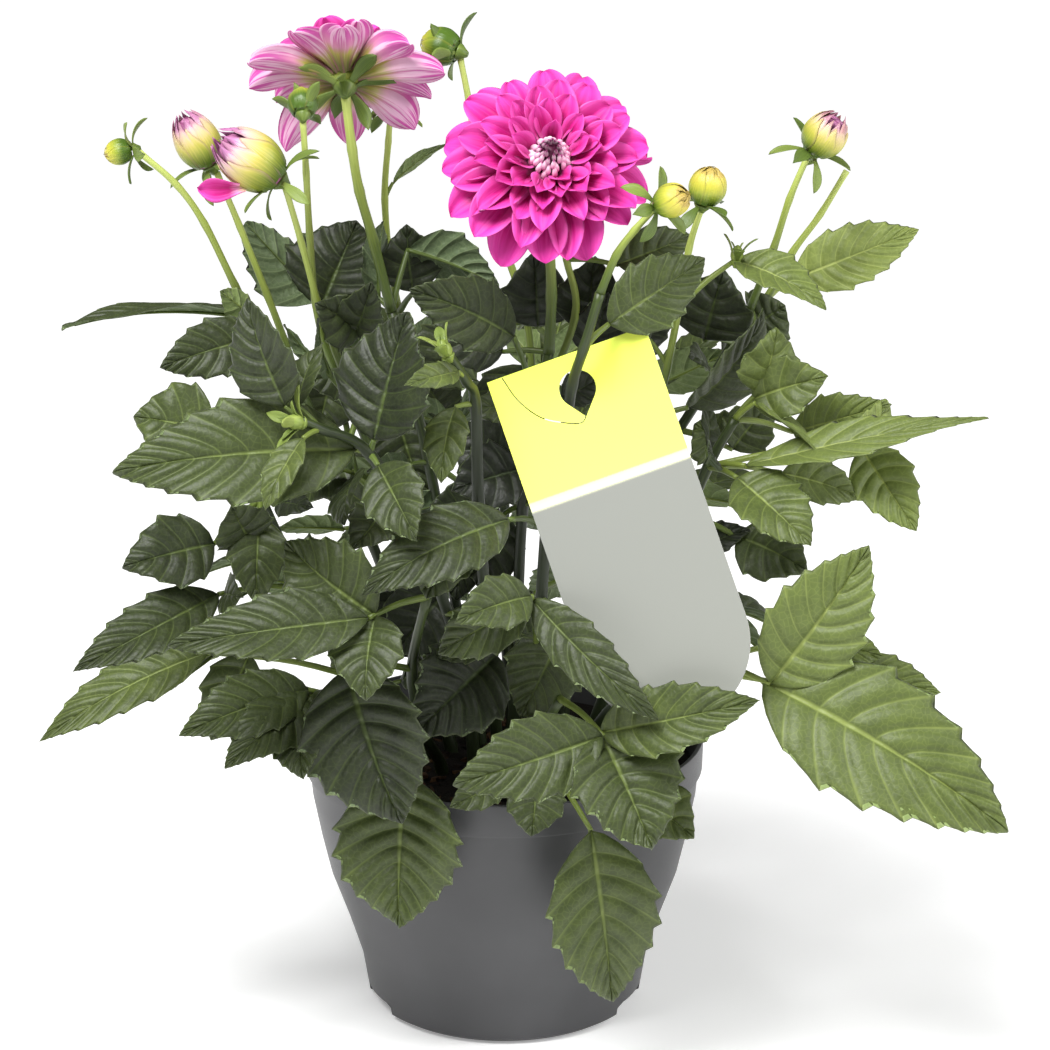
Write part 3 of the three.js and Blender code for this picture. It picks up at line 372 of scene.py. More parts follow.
# %% [markdown]
# ## The potting soil
# Potting soil is moist peat with strands of bark, nearly black, with no shine. Its top is a rough
# disc: rings of points whose height follows a noise, and a few hundred loose crumbs and splinters
# of bark lie on it. The side and base are a plain turned body, because the pot hides them.

# %% Peat, its crust and its crumbs
SOIL_TURNS = 96
SOIL_RADIUS = 90.3
RIM_LEVEL = 117
CROWN = 4               # how much higher the soil lies in the middle than at the rim
CRUMBS = 420
CRUMB_REACH = 86


def soil_level(radius):
    """The height of the soil's gently domed top at a radius."""
    return RIM_LEVEL + CROWN * math.cos(math.pi / 2 * radius / SOIL_RADIUS)


SOIL_SIDE = [(0, 2.4), (59.8, 2.4), (81.7, 67), (SOIL_RADIUS, RIM_LEVEL)]
SOIL_RINGS = [(radius, soil_level(radius)) for radius in np.linspace(88, 2, 36)]

peat, shader = new_material("moist peat with bark", 0.92, Specular_IOR_Level=0.25)
fibres = add_node(peat, "TexNoise", {"Scale": 420.0, "Detail": 6.0, "Roughness": 0.7})
lumps = add_node(peat, "TexVoronoi", {"Scale": 190.0})
tones = add_node(peat, "Attribute", attribute_name="tone")
mixed = add_node(peat, "Math", {0: tones.outputs["Fac"], 1: fibres.outputs["Fac"]}, operation="MULTIPLY")
browns = add_node(peat, "ValToRGB", {"Fac": mixed.outputs["Value"]},
                  stops=[(0.1, "#0d0a08"), (0.3, "#1d1611"), (0.5, "#3a281b"), (0.75, "#5d4229")])
rough = add_node(peat, "Math", {0: lumps.outputs["Distance"], 1: fibres.outputs["Fac"]}, operation="ADD")
feed(peat, shader, browns.outputs["Color"], rough.outputs["Value"], 2.0)


def crust_height(x, y):
    """The unevenness of the soil, a sum of a few waves in different directions."""
    waves = ((0.21, 0.05, 1.1, 0.9), (-0.07, 0.19, 0.4, 0.8), (0.33, -0.28, 2.2, 0.5),
             (0.11, 0.47, 3.0, 0.4), (0.71, 0.37, 5.1, 0.28), (-0.52, 0.83, 0.7, 0.25))
    return sum(depth * np.sin(a * x + b * y + c) for a, b, c, depth in waves)


soil_profile = SOIL_SIDE + SOIL_RINGS + [(0, RIM_LEVEL + CROWN)]
soil_body = turned(soil_profile, SOIL_TURNS, np.zeros(3), (0, 0, 1), 0)
top = soil_body["points"][:, 2] > RIM_LEVEL - 1
soil_body["points"][top, 2] += crust_height(*soil_body["points"][top, :2].T)
soil_body["points"][-1, 2] = soil_body["points"][-3, 2]


def crumb(rng):
    """A crumb of peat or a splinter of bark lying on the soil, a rough eight-cornered lump."""
    radius, turn = CRUMB_REACH * math.sqrt(rng.random()), rng.uniform(0, 2 * math.pi)
    x, y = radius * math.cos(turn), radius * math.sin(turn)
    z = soil_level(radius) + crust_height(x, y)
    long, wide, high = rng.uniform(1.2, 6.5), rng.uniform(0.8, 2.2), rng.uniform(0.5, 1.4)
    corners = [(-1, -1, -1), (1, -1, -1), (1, 1, -1), (-1, 1, -1),
               (-1, -1, 1), (1, -1, 1), (1, 1, 1), (-1, 1, 1)]
    lump = np.array([[c * rng.uniform(0.5, 1.0) for c in corner] for corner in corners]) * (long, wide, high)
    spin, tilt = rng.uniform(0, math.pi), rng.uniform(-0.35, 0.35)
    cs, sn = math.cos(spin), math.sin(spin)
    lump[:, 2] += tilt * lump[:, 0]
    lump = np.column_stack([lump[:, 0] * cs - lump[:, 1] * sn + x, lump[:, 0] * sn + lump[:, 1] * cs + y,
                            lump[:, 2] + z + 0.4 * high])
    faces = [(3, 2, 1, 0), (4, 5, 6, 7), (0, 1, 5, 4), (1, 2, 6, 5), (2, 3, 7, 6), (3, 0, 4, 7)]
    return part(lump, faces, 0, (0.5, 0.5), (0, 0), rng.uniform(0.35, 1.5))


rng = random.Random(11)
make_piece("peat_soil", [soil_body] + [crumb(rng) for _ in range(CRUMBS)], [peat], "soil", "soil", sharp=40)

# %% [markdown]
# ## Living green
# A dahlia leaf is matt green above, with a waxy grey bloom that shows as a broad soft shine. Its veins
# are a little lighter and lie sunk, with the leaf puffed up between them; below it is paler and the
# veins stand out. The map's first number counts side veins, so a vein lies on each whole number, and
# the tone runs from a dark leaf, 0, to a light yellow-green one, 1: it holds the leaf's age, painted
# shade in the heart of the plant and painted light out in the open.

# %% Leaf materials
def leaf_material(name, swatches, vein_swatches, roughness, rim_swatch, depth_mm):
    """Leaf skin: swatches from dark to light, for age with painted shade and painted light, and the swatches
    of the veins on the same scale.
    """
    material, shader = new_material(name, roughness, IOR=1.45, Specular_IOR_Level=0.42, Sheen_Weight=0.05,
                                    Sheen_Roughness=0.4)
    uv = add_node(material, "UVMap", uv_map="along_across")
    flat = add_node(material, "UVMap", uv_map="millimetres")
    split = add_node(material, "SeparateXYZ", {"Vector": uv.outputs["UV"]})
    tone = add_node(material, "Attribute", attribute_name="tone")
    to_vein = add_node(material, "Math", {0: split.outputs["X"], 1: 0.5}, operation="PINGPONG")
    away = add_node(material, "Math", {0: split.outputs["Y"]}, operation="ABSOLUTE")
    side_vein = add_node(material, "MapRange", {"Value": to_vein.outputs["Value"], "From Min": 0.01,
                         "From Max": 0.06, "To Min": 0.5, "To Max": 0.0})
    midrib = add_node(material, "MapRange", {"Value": away.outputs["Value"], "From Min": 0.015,
                      "From Max": 0.055, "To Min": 1.0, "To Max": 0.0})
    veins = add_node(material, "Math", {0: side_vein.outputs["Result"], 1: midrib.outputs["Result"]},
                     operation="MAXIMUM")
    net = add_node(material, "TexVoronoi", {"Vector": flat.outputs["UV"], "Scale": 0.36},
                   feature="DISTANCE_TO_EDGE", voronoi_dimensions="2D")
    net_line = add_node(material, "MapRange", {"Value": net.outputs["Distance"], "From Min": 0.0,
                        "From Max": 0.14, "To Min": 0.2, "To Max": 0.0})
    lines = add_node(material, "Math", {0: veins.outputs["Value"], 1: net_line.outputs["Result"]},
                     operation="MAXIMUM")
    mottle = add_node(material, "TexNoise", {"Vector": flat.outputs["UV"], "Scale": 0.09, "Detail": 5.0})
    shade = add_node(material, "Math", {0: mottle.outputs["Fac"], 1: 0.24, 2: tone.outputs["Fac"]},
                     operation="MULTIPLY_ADD")
    greens = add_node(material, "ValToRGB", {"Fac": shade.outputs["Value"]}, stops=swatches)
    pale = add_node(material, "ValToRGB", {"Fac": shade.outputs["Value"]}, stops=vein_swatches)
    veined = add_node(material, "Mix", {0: lines.outputs["Value"], 6: greens.outputs["Color"],
                      7: pale.outputs["Color"]}, data_type="RGBA")
    rim = add_node(material, "MapRange", {"Value": away.outputs["Value"], "From Min": 0.965,
                   "From Max": 1.0, "To Min": 0.0, "To Max": 0.4})
    edged = add_node(material, "Mix", {0: rim.outputs["Result"], 6: veined.outputs[2],
                     7: linear(rim_swatch)}, data_type="RGBA")
    panel = add_node(material, "MapRange", {"Value": to_vein.outputs["Value"], "From Min": 0.0,
                     "From Max": 0.3}, interpolation_type="SMOOTHSTEP")
    crinkle = add_node(material, "TexNoise", {"Vector": flat.outputs["UV"], "Scale": 0.32, "Detail": 1.5})
    relief = add_node(material, "Math", {0: crinkle.outputs["Fac"], 1: 1.3, 2: panel.outputs["Result"]},
                      operation="MULTIPLY_ADD")
    sunk = add_node(material, "Math", {0: lines.outputs["Value"], 1: -0.5, 2: relief.outputs["Value"]},
                    operation="MULTIPLY_ADD")
    feed(material, shader, edged.outputs[2], sunk.outputs["Value"], depth_mm)
    return material


# the darkest swatches are painted shade for the leaves in the heart of the plant
leaf_upper = leaf_material(
    "dahlia leaf, upper side with waxy bloom",
    [(0.1, "#0c1107"), (0.3, "#1e2512"), (0.55, "#3a451f"), (0.8, "#627035"), (1.0, "#8d9a50")],
    [(0.1, "#263019"), (0.3, "#414e26"), (0.55, "#657338"), (0.8, "#929e53"), (1.0, "#b5c072")],
    0.5, "#6b7846", 0.29)
leaf_under = leaf_material(
    "dahlia leaf, paler under side",
    [(0.1, "#46553a"), (0.4, "#5c6c48"), (0.7, "#7a8c50"), (1.0, "#94a55a")],
    [(0.1, "#6d7b58"), (0.4, "#8d9c6c"), (0.7, "#a9b77c"), (1.0, "#bcc886")],
    0.6, "#a0ac7c", -0.5)
print("leaf skins:", leaf_upper.name, "and", leaf_under.name)

# %% [markdown]
# A stem's skin has fine ribs along its length. A bract is thicker and smoother than a leaf, with faint
# long ribs. Both take their green from the tone, as the leaves do.

# %% Stem and bract materials
stem_green, shader = new_material("dahlia stem, smooth juicy skin", 0.4, IOR=1.42)
flat = add_node(stem_green, "UVMap", uv_map="millimetres")
streaks = add_node(stem_green, "Mapping", {"Vector": flat.outputs["UV"], "Scale": (0.05, 2.6, 1.0)})
ribs = add_node(stem_green, "TexNoise", {"Vector": streaks.outputs["Vector"], "Scale": 1.0, "Detail": 2.0})
tone = add_node(stem_green, "Attribute", attribute_name="tone")
shade = add_node(stem_green, "Math", {0: ribs.outputs["Fac"], 1: 0.28, 2: tone.outputs["Fac"]},
                 operation="MULTIPLY_ADD")
greens = add_node(stem_green, "ValToRGB", {"Fac": shade.outputs["Value"]},
                  stops=[(0.1, "#232c17"), (0.35, "#4c5c26"), (0.65, "#8d9b45"), (0.95, "#bcc870"),
                         (1.2, "#d3db9a")])
feed(stem_green, shader, greens.outputs["Color"], ribs.outputs["Fac"], 0.06)

bract_green, shader = new_material("dahlia bract, thick smooth leafy scale", 0.42, IOR=1.42)
uv = add_node(bract_green, "UVMap", uv_map="along_across")
split = add_node(bract_green, "SeparateXYZ", {"Vector": uv.outputs["UV"]})
tone = add_node(bract_green, "Attribute", attribute_name="tone")
lines = add_node(bract_green, "Mapping", {"Vector": uv.outputs["UV"], "Scale": (1.2, 9.0, 1.0)})
ribs = add_node(bract_green, "TexNoise", {"Vector": lines.outputs["Vector"], "Scale": 1.0, "Detail": 3.0})
shade = add_node(bract_green, "Math", {0: ribs.outputs["Fac"], 1: 0.5, 2: tone.outputs["Fac"]},
                 operation="MULTIPLY_ADD")
greens = add_node(bract_green, "ValToRGB", {"Fac": shade.outputs["Value"]},
                  stops=[(0.3, "#32431b"), (0.55, "#526628"), (0.8, "#7f9043"), (1.0, "#a2ad62")])
feed(bract_green, shader, greens.outputs["Color"], ribs.outputs["Fac"], 0.2)
GREEN_PARTS = [leaf_upper, leaf_under, stem_green, bract_green]
LEAF_UPPER, LEAF_UNDER, STEM, BRACT = range(4)
print("green finishes:", ", ".join(material.name for material in GREEN_PARTS))

# %% [markdown]
# ## Where the stems and leaves are
# These are the measures of the plain solids, in millimetres: each shoot's foot in the soil, the points
# of its main stem and of its flower stalks, and its leaves. A leaf row gives where its stalk leaves the
# stem, where the stalk ends, and each leaflet's tip, width and, where it isn't the usual one, the way
# its upper side faces.

# %% The shoots
SHOOTS = [
    {
        "name": "shoot_far_left",
        "foot": (-26, 10),
        "main": [(-40, 14, 160), (-66, 20, 230), (-96, 20, 299)],
        "stalks": [
            [
                (-96, 20, 299), (-113, 14, 327), (-125, 8, 353), (-138, 4, 383), (-150, 1, 402),
                (-167, 0, 418),
            ],
            [(-96, 20, 299), (-103, 21, 322), (-111, 21, 345), (-123, 20, 378), (-133, 19, 404)],
        ],
        "leaves": [
            ((-103, 21, 322), (-118, 28, 333), [(-206, 4, 337, 38, (0, 0.2, 1))]),
            ((-96, 20, 299), (-112, -2, 331), [(-158, -22, 322, 30, (0, -1, 0.6))]),
            ((-66, 20, 230), (-88, 44, 336), [(-124, 58, 370, 40), (-70, 66, 370, 52, (0, -1, 0.6))]),
            ((-113, 14, 327), (-116, 6, 338), [(-131, -6, 354, 15)]),
            ((-96, 20, 299), (-82, 34, 303), [(-89, 30, 275, 37, (0, -1, 0.3))]),
            ((-53, 17, 195), (-51, 11, 203), [(-60, 14, 163, 37, (0, -1, 0.3))]),
        ],
        "young": [],
    },
    {
        "name": "shoot_left",
        "foot": (-14, -6),
        "main": [(-24, -10, 170), (-48, -10, 240), (-71, -7, 300)],
        "stalks": [
            [(-68, -7, 294), (-78, -10, 327), (-85, -14, 349), (-92, -20, 380), (-99, -24, 408)],
            [
                (-71, -7, 300), (-82, -4, 325), (-87, -4, 348), (-89, -6, 380), (-90, -8, 410),
                (-91, -9, 434),
            ],
        ],
        "leaves": [
            ((-71, -7, 300), (-82, -18, 318), [(-101, -30, 344, 14), (-84, -36, 349, 18)]),
            ((-48, -10, 240), (-70, -36, 276), [(-96, -66, 290, 30), (-72, -74, 262, 26)]),
            ((-76.5, -5.5, 312.5), (-69, 13, 312), [(-92, -1, 309, 26, (0, -1, 0.4))]),
            (
                (-78, -10, 327), (-66, -6, 335),
                [(-85, -23, 352, 30, (0, -1, 0.4)), (-60, -25, 363, 24, (0, -1, 0.4))],
            ),
            ((-68, -7, 294), (-72, -21, 283), [(-100, -33, 261, 32, (0, -1, 0.6))]),
            ((-36, -10, 205), (-28, -20, 211), [(-51, -27, 184, 40, (0, -1, 0.3))]),
        ],
        "young": [],
    },
    {
        "name": "shoot_front_left",
        "foot": (-14, -34),
        "main": [(-18, -44, 180), (-36, -74, 250), (-59, -95, 302), (-80, -110, 318), (-88, -114, 323)],
        "stalks": [],
        "leaves": [
            ((-59, -95, 302), (-57, -97, 309), [(-42, -90, 366, 52)]),
            ((-59, -95, 302), (-55, -103, 299), [(-38, -136, 276, 30)]),
            ((-59, -95, 302), (-65, -98, 305), [(-171, -118, 302, 52, (-0.1, -0.8, 0.6))]),
            ((-80, -110, 318), (-90, -105, 327), [(-80, -92, 353, 19)]),
            ((-88, -114, 323), (-95, -112, 329), [(-113, -104, 375, 38)]),
            ((-80, -110, 318), (-87, -121, 317), [(-104, -140, 291, 19)]),
            ((-46, -83, 272), (-54, -62, 267), [(-68, -86, 254, 24, (0, -1, 0.5))]),
            ((-18, -44, 180), (-3, -63, 196), [(-40, -93, 168, 46, (0, -1, 0.4))]),
            ((-27, -59, 215), (-4, -75, 213), [(-31, -77, 200, 22, (0, -1, 0.5))]),
        ],
        "young": [((-88, -114, 322), (-0.8, -0.45, 0.25), 8)],
    },
    {
        "name": "shoot_left_low",
        "foot": (-38, 0),
        "main": [(-56, -8, 160), (-92, -24, 215), (-112, -34, 262), (-120, -37, 284)],
        "stalks": [],
        "leaves": [
            ((-120, -37, 284), (-132, -40, 296), [(-169, -42, 304, 40, (0, -1, 0.4))]),
            ((-112, -34, 262), (-132, -58, 248), [(-172, -78, 244, 36, (0, -1, 0.6))]),
            (
                (-92, -24, 215), (-130, -68, 227),
                [(-193, -108, 205, 32, (0, -0.8, 0.8)), (-118, -98, 236, 20)],
            ),
            ((-112, -34, 262), (-112, -46, 257), [(-113, -66, 222, 28, (0, -1, 0.3))]),
            ((-56, -8, 160), (-138, -38, 188), [(-216, -60, 152, 30, (0, -0.7, 0.9)), (-158, -6, 160, 26)]),
            ((-112, -34, 262), (-116, -50, 247), [(-124, -61, 268, 30, (0, -1, 0.5))]),
            ((-92, -24, 215), (-118, -48, 191), [(-136, -59, 152, 30, (0, -1, 0.6))]),
        ],
        "young": [],
    },
    {
        "name": "shoot_front_left_low",
        "foot": (-30, -18),
        "main": [(-38, -40, 150), (-42, -66, 190), (-34, -98, 236)],
        "stalks": [],
        "leaves": [
            (
                (-34, -98, 236), (-59, -124, 235),
                [(-147, -140, 229, 36), (-97, -104, 264, 42), (-60, -148, 205, 34)],
            ),
            (
                (-38, -40, 150), (-89, -80, 185),
                [
                    (-146, -108, 174, 34, (0, -1, 0.8)), (-124, -122, 165, 32, (0, -1, 0.8)),
                    (-90, -126, 160, 38),
                ],
            ),
            ((-42, -66, 190), (-70, -104, 204), [(-46, -124, 136, 60)]),
            ((-38, -40, 150), (-45, -98, 150), [(-48, -106, 78, 60, (-0.3, -1, 0.1))]),
        ],
        "young": [],
    },
    {
        "name": "shoot_front_low",
        "foot": (6, -40),
        "main": [(14, -62, 150), (26, -92, 185)],
        "stalks": [],
        "leaves": [
            (
                (26, -92, 185), (45, -134, 183),
                [(-22, -150, 166, 38), (112, -150, 206, 33), (66, -160, 139, 52)],
            ),
            ((14, -62, 150), (60, -110, 146), [(87, -120, 129, 30)]),
            ((14, -62, 150), (40, -110, 128), [(51, -106, 39, 52, (0.2, -1, 0.1))]),
            ((14, -62, 150), (15, -99, 148), [(13, -112, 126, 28)]),
            ((14, -62, 150), (0, -103, 150), [(-24, -120, 143, 18)]),
        ],
        "young": [],
    },
    {
        "name": "shoot_young",
        "foot": (-2, -22),
        "main": [(-6, -42, 180), (-11, -70, 270), (-12, -84, 322), (-16, -96, 336), (-24, -104, 351)],
        "stalks": [],
        "leaves": [
            ((-16, -96, 336), (-19, -103, 342), [(-42, -126, 343, 13)]),
            ((-12, -84, 322), (-21, -89, 322), [(-27, -107, 292, 21)]),
            ((-11, -70, 270), (-18, -92, 268), [(-34, -112, 240, 34)]),
        ],
        "young": [((-24, -104, 350), (-0.4, -0.1, 0.8), 8)],
    },
    {
        "name": "shoot_front",
        "foot": (14, -24),
        "main": [
            (16, -34, 180), (20, -44, 250), (28, -66, 303), (31, -81, 330), (36, -92, 350), (43, -93, 375),
        ],
        "stalks": [
            [(43, -93, 375), (50, -92, 392), (58, -91, 403), (66, -91, 412)],
        ],
        "leaves": [
            ((36, -92, 350), (47, -82, 358), [(91, -60, 383, 33)]),
            ((20, -44, 250), (3, -103, 274), [(-61, -136, 252, 38)]),
            (
                (16, -34, 180), (13, -118, 243),
                [(-20, -142, 240, 26), (68, -153, 198, 25, (-0.2, -0.9, 0.5)), (-30, -112, 214, 30)],
            ),
            ((18, -39, 215), (28, -56, 206), [(8, -56, 162, 38, (0, -1, 0.3))]),
        ],
        "young": [],
    },
    {
        "name": "shoot_centre",
        "foot": (4, 2),
        "main": [(6, 0, 180), (9, -6, 250), (16, -18, 300), (21, -26, 330)],
        "stalks": [
            [(21, -26, 330), (22, -31, 358), (21, -34, 384), (19.5, -37, 404), (19.6, -41, 417)],
            [(16, -18, 300), (33, -16, 344), (29, -14, 371), (26, -12, 392)],
            [
                (9, -6, 250), (13, 16, 300), (11, 22, 332), (4, 26, 356), (-10, 30, 396), (-16, 33, 434),
                (-20, 33, 455),
            ],
        ],
        "leaves": [
            ((16, -18, 300), (5, -44, 342), [(-42, -62, 369, 34)]),
            ((21, -26, 330), (0, -18, 328), [(-32, -25, 339, 26, (0, -1, 0.5))]),
            (
                (12.5, -12, 275), (7, -7, 265),
                [(-21, -1, 288, 38, (0, -1, 0.4)), (-24, -22, 262, 34, (0, -1, 0.6))],
            ),
            (
                (9, -6, 250), (-2, 10, 239),
                [(-35, 3, 247, 36, (0, -1, 0.6)), (-11, 4, 204, 32, (0, -1, 0.3))],
            ),
            ((29, -14, 371), (52, -17, 369), [(87, -4, 380, 24, (0, -1, 0.4))]),
            (
                (24.5, -17, 322), (43, -3, 324),
                [(81, 14, 340, 32, (0, -1, 0.4)), (48, -18, 356, 26, (0, -1, 0.3))],
            ),
            ((11, 22, 332), (7, 39, 324), [(22, 55, 343, 24, (0, -1, 0.4))]),
            ((11, 22, 332), (16, 12, 332), [(14, 3, 369, 37, (0, -1, 0.4))]),
            ((33, -16, 344), (39, -3, 334), [(42, -5, 370, 34, (0, -1, 0.4))]),
            ((12, 19, 316), (10, 42, 305), [(-5, 35, 269, 37, (0, -1, 0.3))]),
            ((11, 22, 332), (-18, 20, 327), [(-39, 27, 301, 37, (0, -1, 0.3))]),
        ],
        "young": [((26, -12, 391), (-0.1, 0.4, 1), 8)],
    },
    {
        "name": "shoot_back_left",
        "foot": (-12, 20),
        "main": [(-20, 26, 170), (-36, 30, 260), (-53, 26, 336)],
        "stalks": [
            [(-53, 26, 336), (-61, 23, 371), (-67, 20, 395), (-70, 18, 415), (-73, 20, 441)],
            [
                (-36, 30, 260), (-46, 50, 310), (-54, 64, 345), (-57, 68, 380), (-55, 68, 408),
                (-54, 68, 420),
            ],
        ],
        "leaves": [
            ((-57, 68, 380), (-53, 69, 388), [(-25, 72, 408, 10)]),
            ((-53, 26, 336), (-60, 30, 342), [(-57, 40, 376, 26)]),
            ((-53, 26, 336), (-45, 38, 363), [(-2, 34, 346, 32)]),
            ((-50, 57, 327.5), (-43, 45, 340), [(-46, 46, 373, 30, (0, -1, 0.4))]),
            ((-41, 40, 285), (-51, 55, 275), [(-38, 45, 238, 37, (0, -1, 0.3))]),
            ((-36, 30, 260), (-14, 27, 245), [(-23, 13, 196, 37, (0, -1, 0.3))]),
        ],
        "young": [],
    },
    {
        "name": "shoot_right",
        "foot": (22, -6),
        "main": [(32, -12, 180), (50, -20, 250), (70, -32, 300)],
        "stalks": [
            [(70, -32, 300), (75, -36, 326), (80, -39, 355), (84, -40, 382), (89, -40, 400)],
        ],
        "leaves": [
            ((80, -39, 355), (105, -30, 374), [(146, -52, 359, 26, (0.2, -0.6, 0.75))]),
            ((70, -32, 300), (85, -34, 306), [(120, -32, 351, 46)]),
            ((75, -36, 326), (67, -34, 338), [(50, -38, 357, 18)]),
        ],
        "young": [((106, -30, 374), (0.1, 0.2, 0.9), 7)],
    },
    {
        "name": "shoot_back_right",
        "foot": (20, 16),
        "main": [(36, 20, 170), (68, 24, 250), (100, 27, 305), (116, 26, 337)],
        "stalks": [
            [(116, 26, 337), (126, 23, 366), (133, 20, 391), (141, 21, 411)],
            [(100, 27, 305), (124, 36, 339), (136, 38, 361), (149, 40, 379), (161, 40, 400)],
        ],
        "leaves": [
            ((124, 36, 339), (138, 55, 344), [(198, 60, 368, 31, (0, -1, 0.5))]),
            ((108, 26.5, 321), (94, 7, 327), [(102, 2, 361, 42, (0, -1, 0.4))]),
            ((116, 26, 337), (119, 33, 327), [(133, 32, 337, 32, (0.2, -1, 0.4))]),
            (
                (84, 25.5, 277.5), (108, 12, 272),
                [(126, 12, 295, 26, (0.2, -1, 0.4)), (90, 14, 284, 30, (0, -1, 0.4))],
            ),
        ],
        "young": [],
    },
    {
        "name": "shoot_right_middle",
        "foot": (38, -6),
        "main": [(52, -16, 170), (76, -32, 230), (94, -42, 280), (106, -43, 303)],
        "stalks": [],
        "leaves": [
            (
                (106, -43, 303), (116, -42, 315),
                [(124, -46, 347, 30, (0.2, -1, 0.2)), (147, -53, 326, 30, (0.2, -1, 0.5))],
            ),
            ((106, -43, 303), (115, -47, 312), [(147, -72, 292, 18)]),
            ((94, -42, 280), (110, -60, 286), [(216, -82, 318, 28, (0, -0.4, 1))]),
            ((94, -42, 280), (106, -66, 282), [(138, -97, 260, 36, (0.1, -0.6, 0.9))]),
            ((94, -42, 280), (163, -52, 292), [(187, -76, 260, 30, (0, -1, 0.5)), (176, -44, 312, 24)]),
            ((106, -43, 303), (134, -20, 290), [(175, -48, 312, 25, (0, -1, 0.6))]),
            ((94, -42, 280), (129, -20, 270), [(167, -16, 257, 24, (0, -1, 0.7))]),
            ((85, -37, 255), (108, -38, 245), [(140, -52, 233, 34, (0.2, -1, 0.6))]),
        ],
        "young": [],
    },
    {
        "name": "shoot_right_low",
        "foot": (32, -24),
        "main": [(48, -46, 160), (72, -72, 190), (94, -94, 203)],
        "stalks": [],
        "leaves": [
            (
                (94, -94, 203), (120, -111, 199),
                [
                    (163, -106, 263, 46, (0.3, -1, 0.5)), (225, -150, 145, 64, (-0.1, -1, 0.8)),
                    (147, -124, 166, 14),
                ],
            ),
            ((72, -72, 190), (134, -90, 190), [(199, -92, 188, 34)]),
            ((94, -94, 203), (132, -89, 211), [(172, -91, 205, 27, (0.2, -1, 0.7))]),
        ],
        "young": [],
    },
]
print("shoots in front:", len(SHOOTS))

# %% [markdown]
# The far side of the plant, which is seen only from behind, is filled by three more shoots with leaves
# of three leaflets, set out by a rule: they leave the stem in turn to the left and to the right, each
# pair higher and shorter than the one below.

# %% The shoots at the back
BACK_STEMS = (("shoot_back", (4, 36), 90), ("shoot_back_left_low", (-26, 32), 137),
              ("shoot_back_right_low", (28, 34), 50))
BACK_MAIN = ((55, 175), (78, 235), (92, 285))
BACK_LEAVES = 5
# the lowest leaf's measures, and how much each changes from one leaf to the next one up
BACK_LEAF = {"reach": (112, -6), "height": (182, 27), "size": (62, -2), "droop": (0.6, -0.3)}
# the degrees by which a leaf stands to the side of its stem, and the change from one pair to the next
BACK_ASIDE = (22, -4)
# each leaflet's turn from the leaf's own way, its share of the leaf's size, and its width for its size
BACK_LEAFLETS = ((0, 1, 0.54), (62, 0.76, 0.46), (-62, 0.76, 0.46))


def polar(azimuth, radius, height):
    """A point at a turn in degrees, a distance from the pot's axis and a height."""
    turn = math.radians(azimuth)
    return radius * math.cos(turn), radius * math.sin(turn), height


def back_shoot(name, foot, azimuth):
    """A shoot of the far side, in the same form as the rows above."""
    main = [polar(azimuth, radius, height) for radius, height in BACK_MAIN]
    leaves = []
    for k in range(BACK_LEAVES):
        reach, height, size, droop = (first + change * k for first, change in BACK_LEAF.values())
        way = azimuth + (1 if k % 2 else -1) * (BACK_ASIDE[0] + BACK_ASIDE[1] * (k // 2))
        joint = np.array(polar(way, reach, height))
        blades = []
        for turn, share, wide in BACK_LEAFLETS:
            x, y, _ = polar(way + turn, size * share, 0)
            tip = joint + (x, y, -droop * size * share)
            blades.append((*tip, size * wide))
        leaves.append((main[k // 2], joint, blades))
    return {"name": name, "foot": foot, "main": main, "stalks": [], "leaves": leaves, "young": []}


SHOOTS += [back_shoot(*row) for row in BACK_STEMS]
print("shoots:", len(SHOOTS), "leaflets:", sum(len(row[2]) for s in SHOOTS for row in s["leaves"]))


# %% [markdown]
# ## Leaflets
# A dahlia leaflet is egg-shaped with a drawn-out point and forward teeth, one at the end of each side
# vein. It folds a little along its midrib, bows over its length, twists and ripples at the rim. The
# rows of the blade follow the side veins, five rows to a vein, so each tooth and each puffed-up panel
# between the veins is real geometry. Small random differences keep any two from being alike.

# %% Leaflets in rows that follow the veins
VEIN_GAP = 7.0          # millimetres of midrib from one side vein to the next
ROWS_PER_VEIN = ((0.0, 1.06), (0.14, 0.92), (0.38, 0.94), (0.62, 0.97), (0.86, 1.03))
LEAF_COLUMNS = np.array([0, 0.05, 0.13, 0.26, 0.4, 0.55, 0.7, 0.84, 0.94, 1])
LEAF_THICKNESS = 0.45
FEWEST_VEINS, MOST_VEINS = 5, 9
MIDRIB_RADII = (1.15, 0.2)
BROAD_LEAFLET = 26      # a leaflet at least this wide has the full midrib
UPWARD = 0.61           # a leaf faces away from the pot's axis, and this share of that upwards


def mirrored(columns):
    """Columns from -1 to 1, from those of one half."""
    return np.concatenate([-columns[:0:-1], columns])


def leaf_outline(u):
    """An egg shape, widest below the middle and drawn out to a point."""
    return np.sin(math.pi * np.clip(u, 0, 1) ** 0.8) ** 0.86


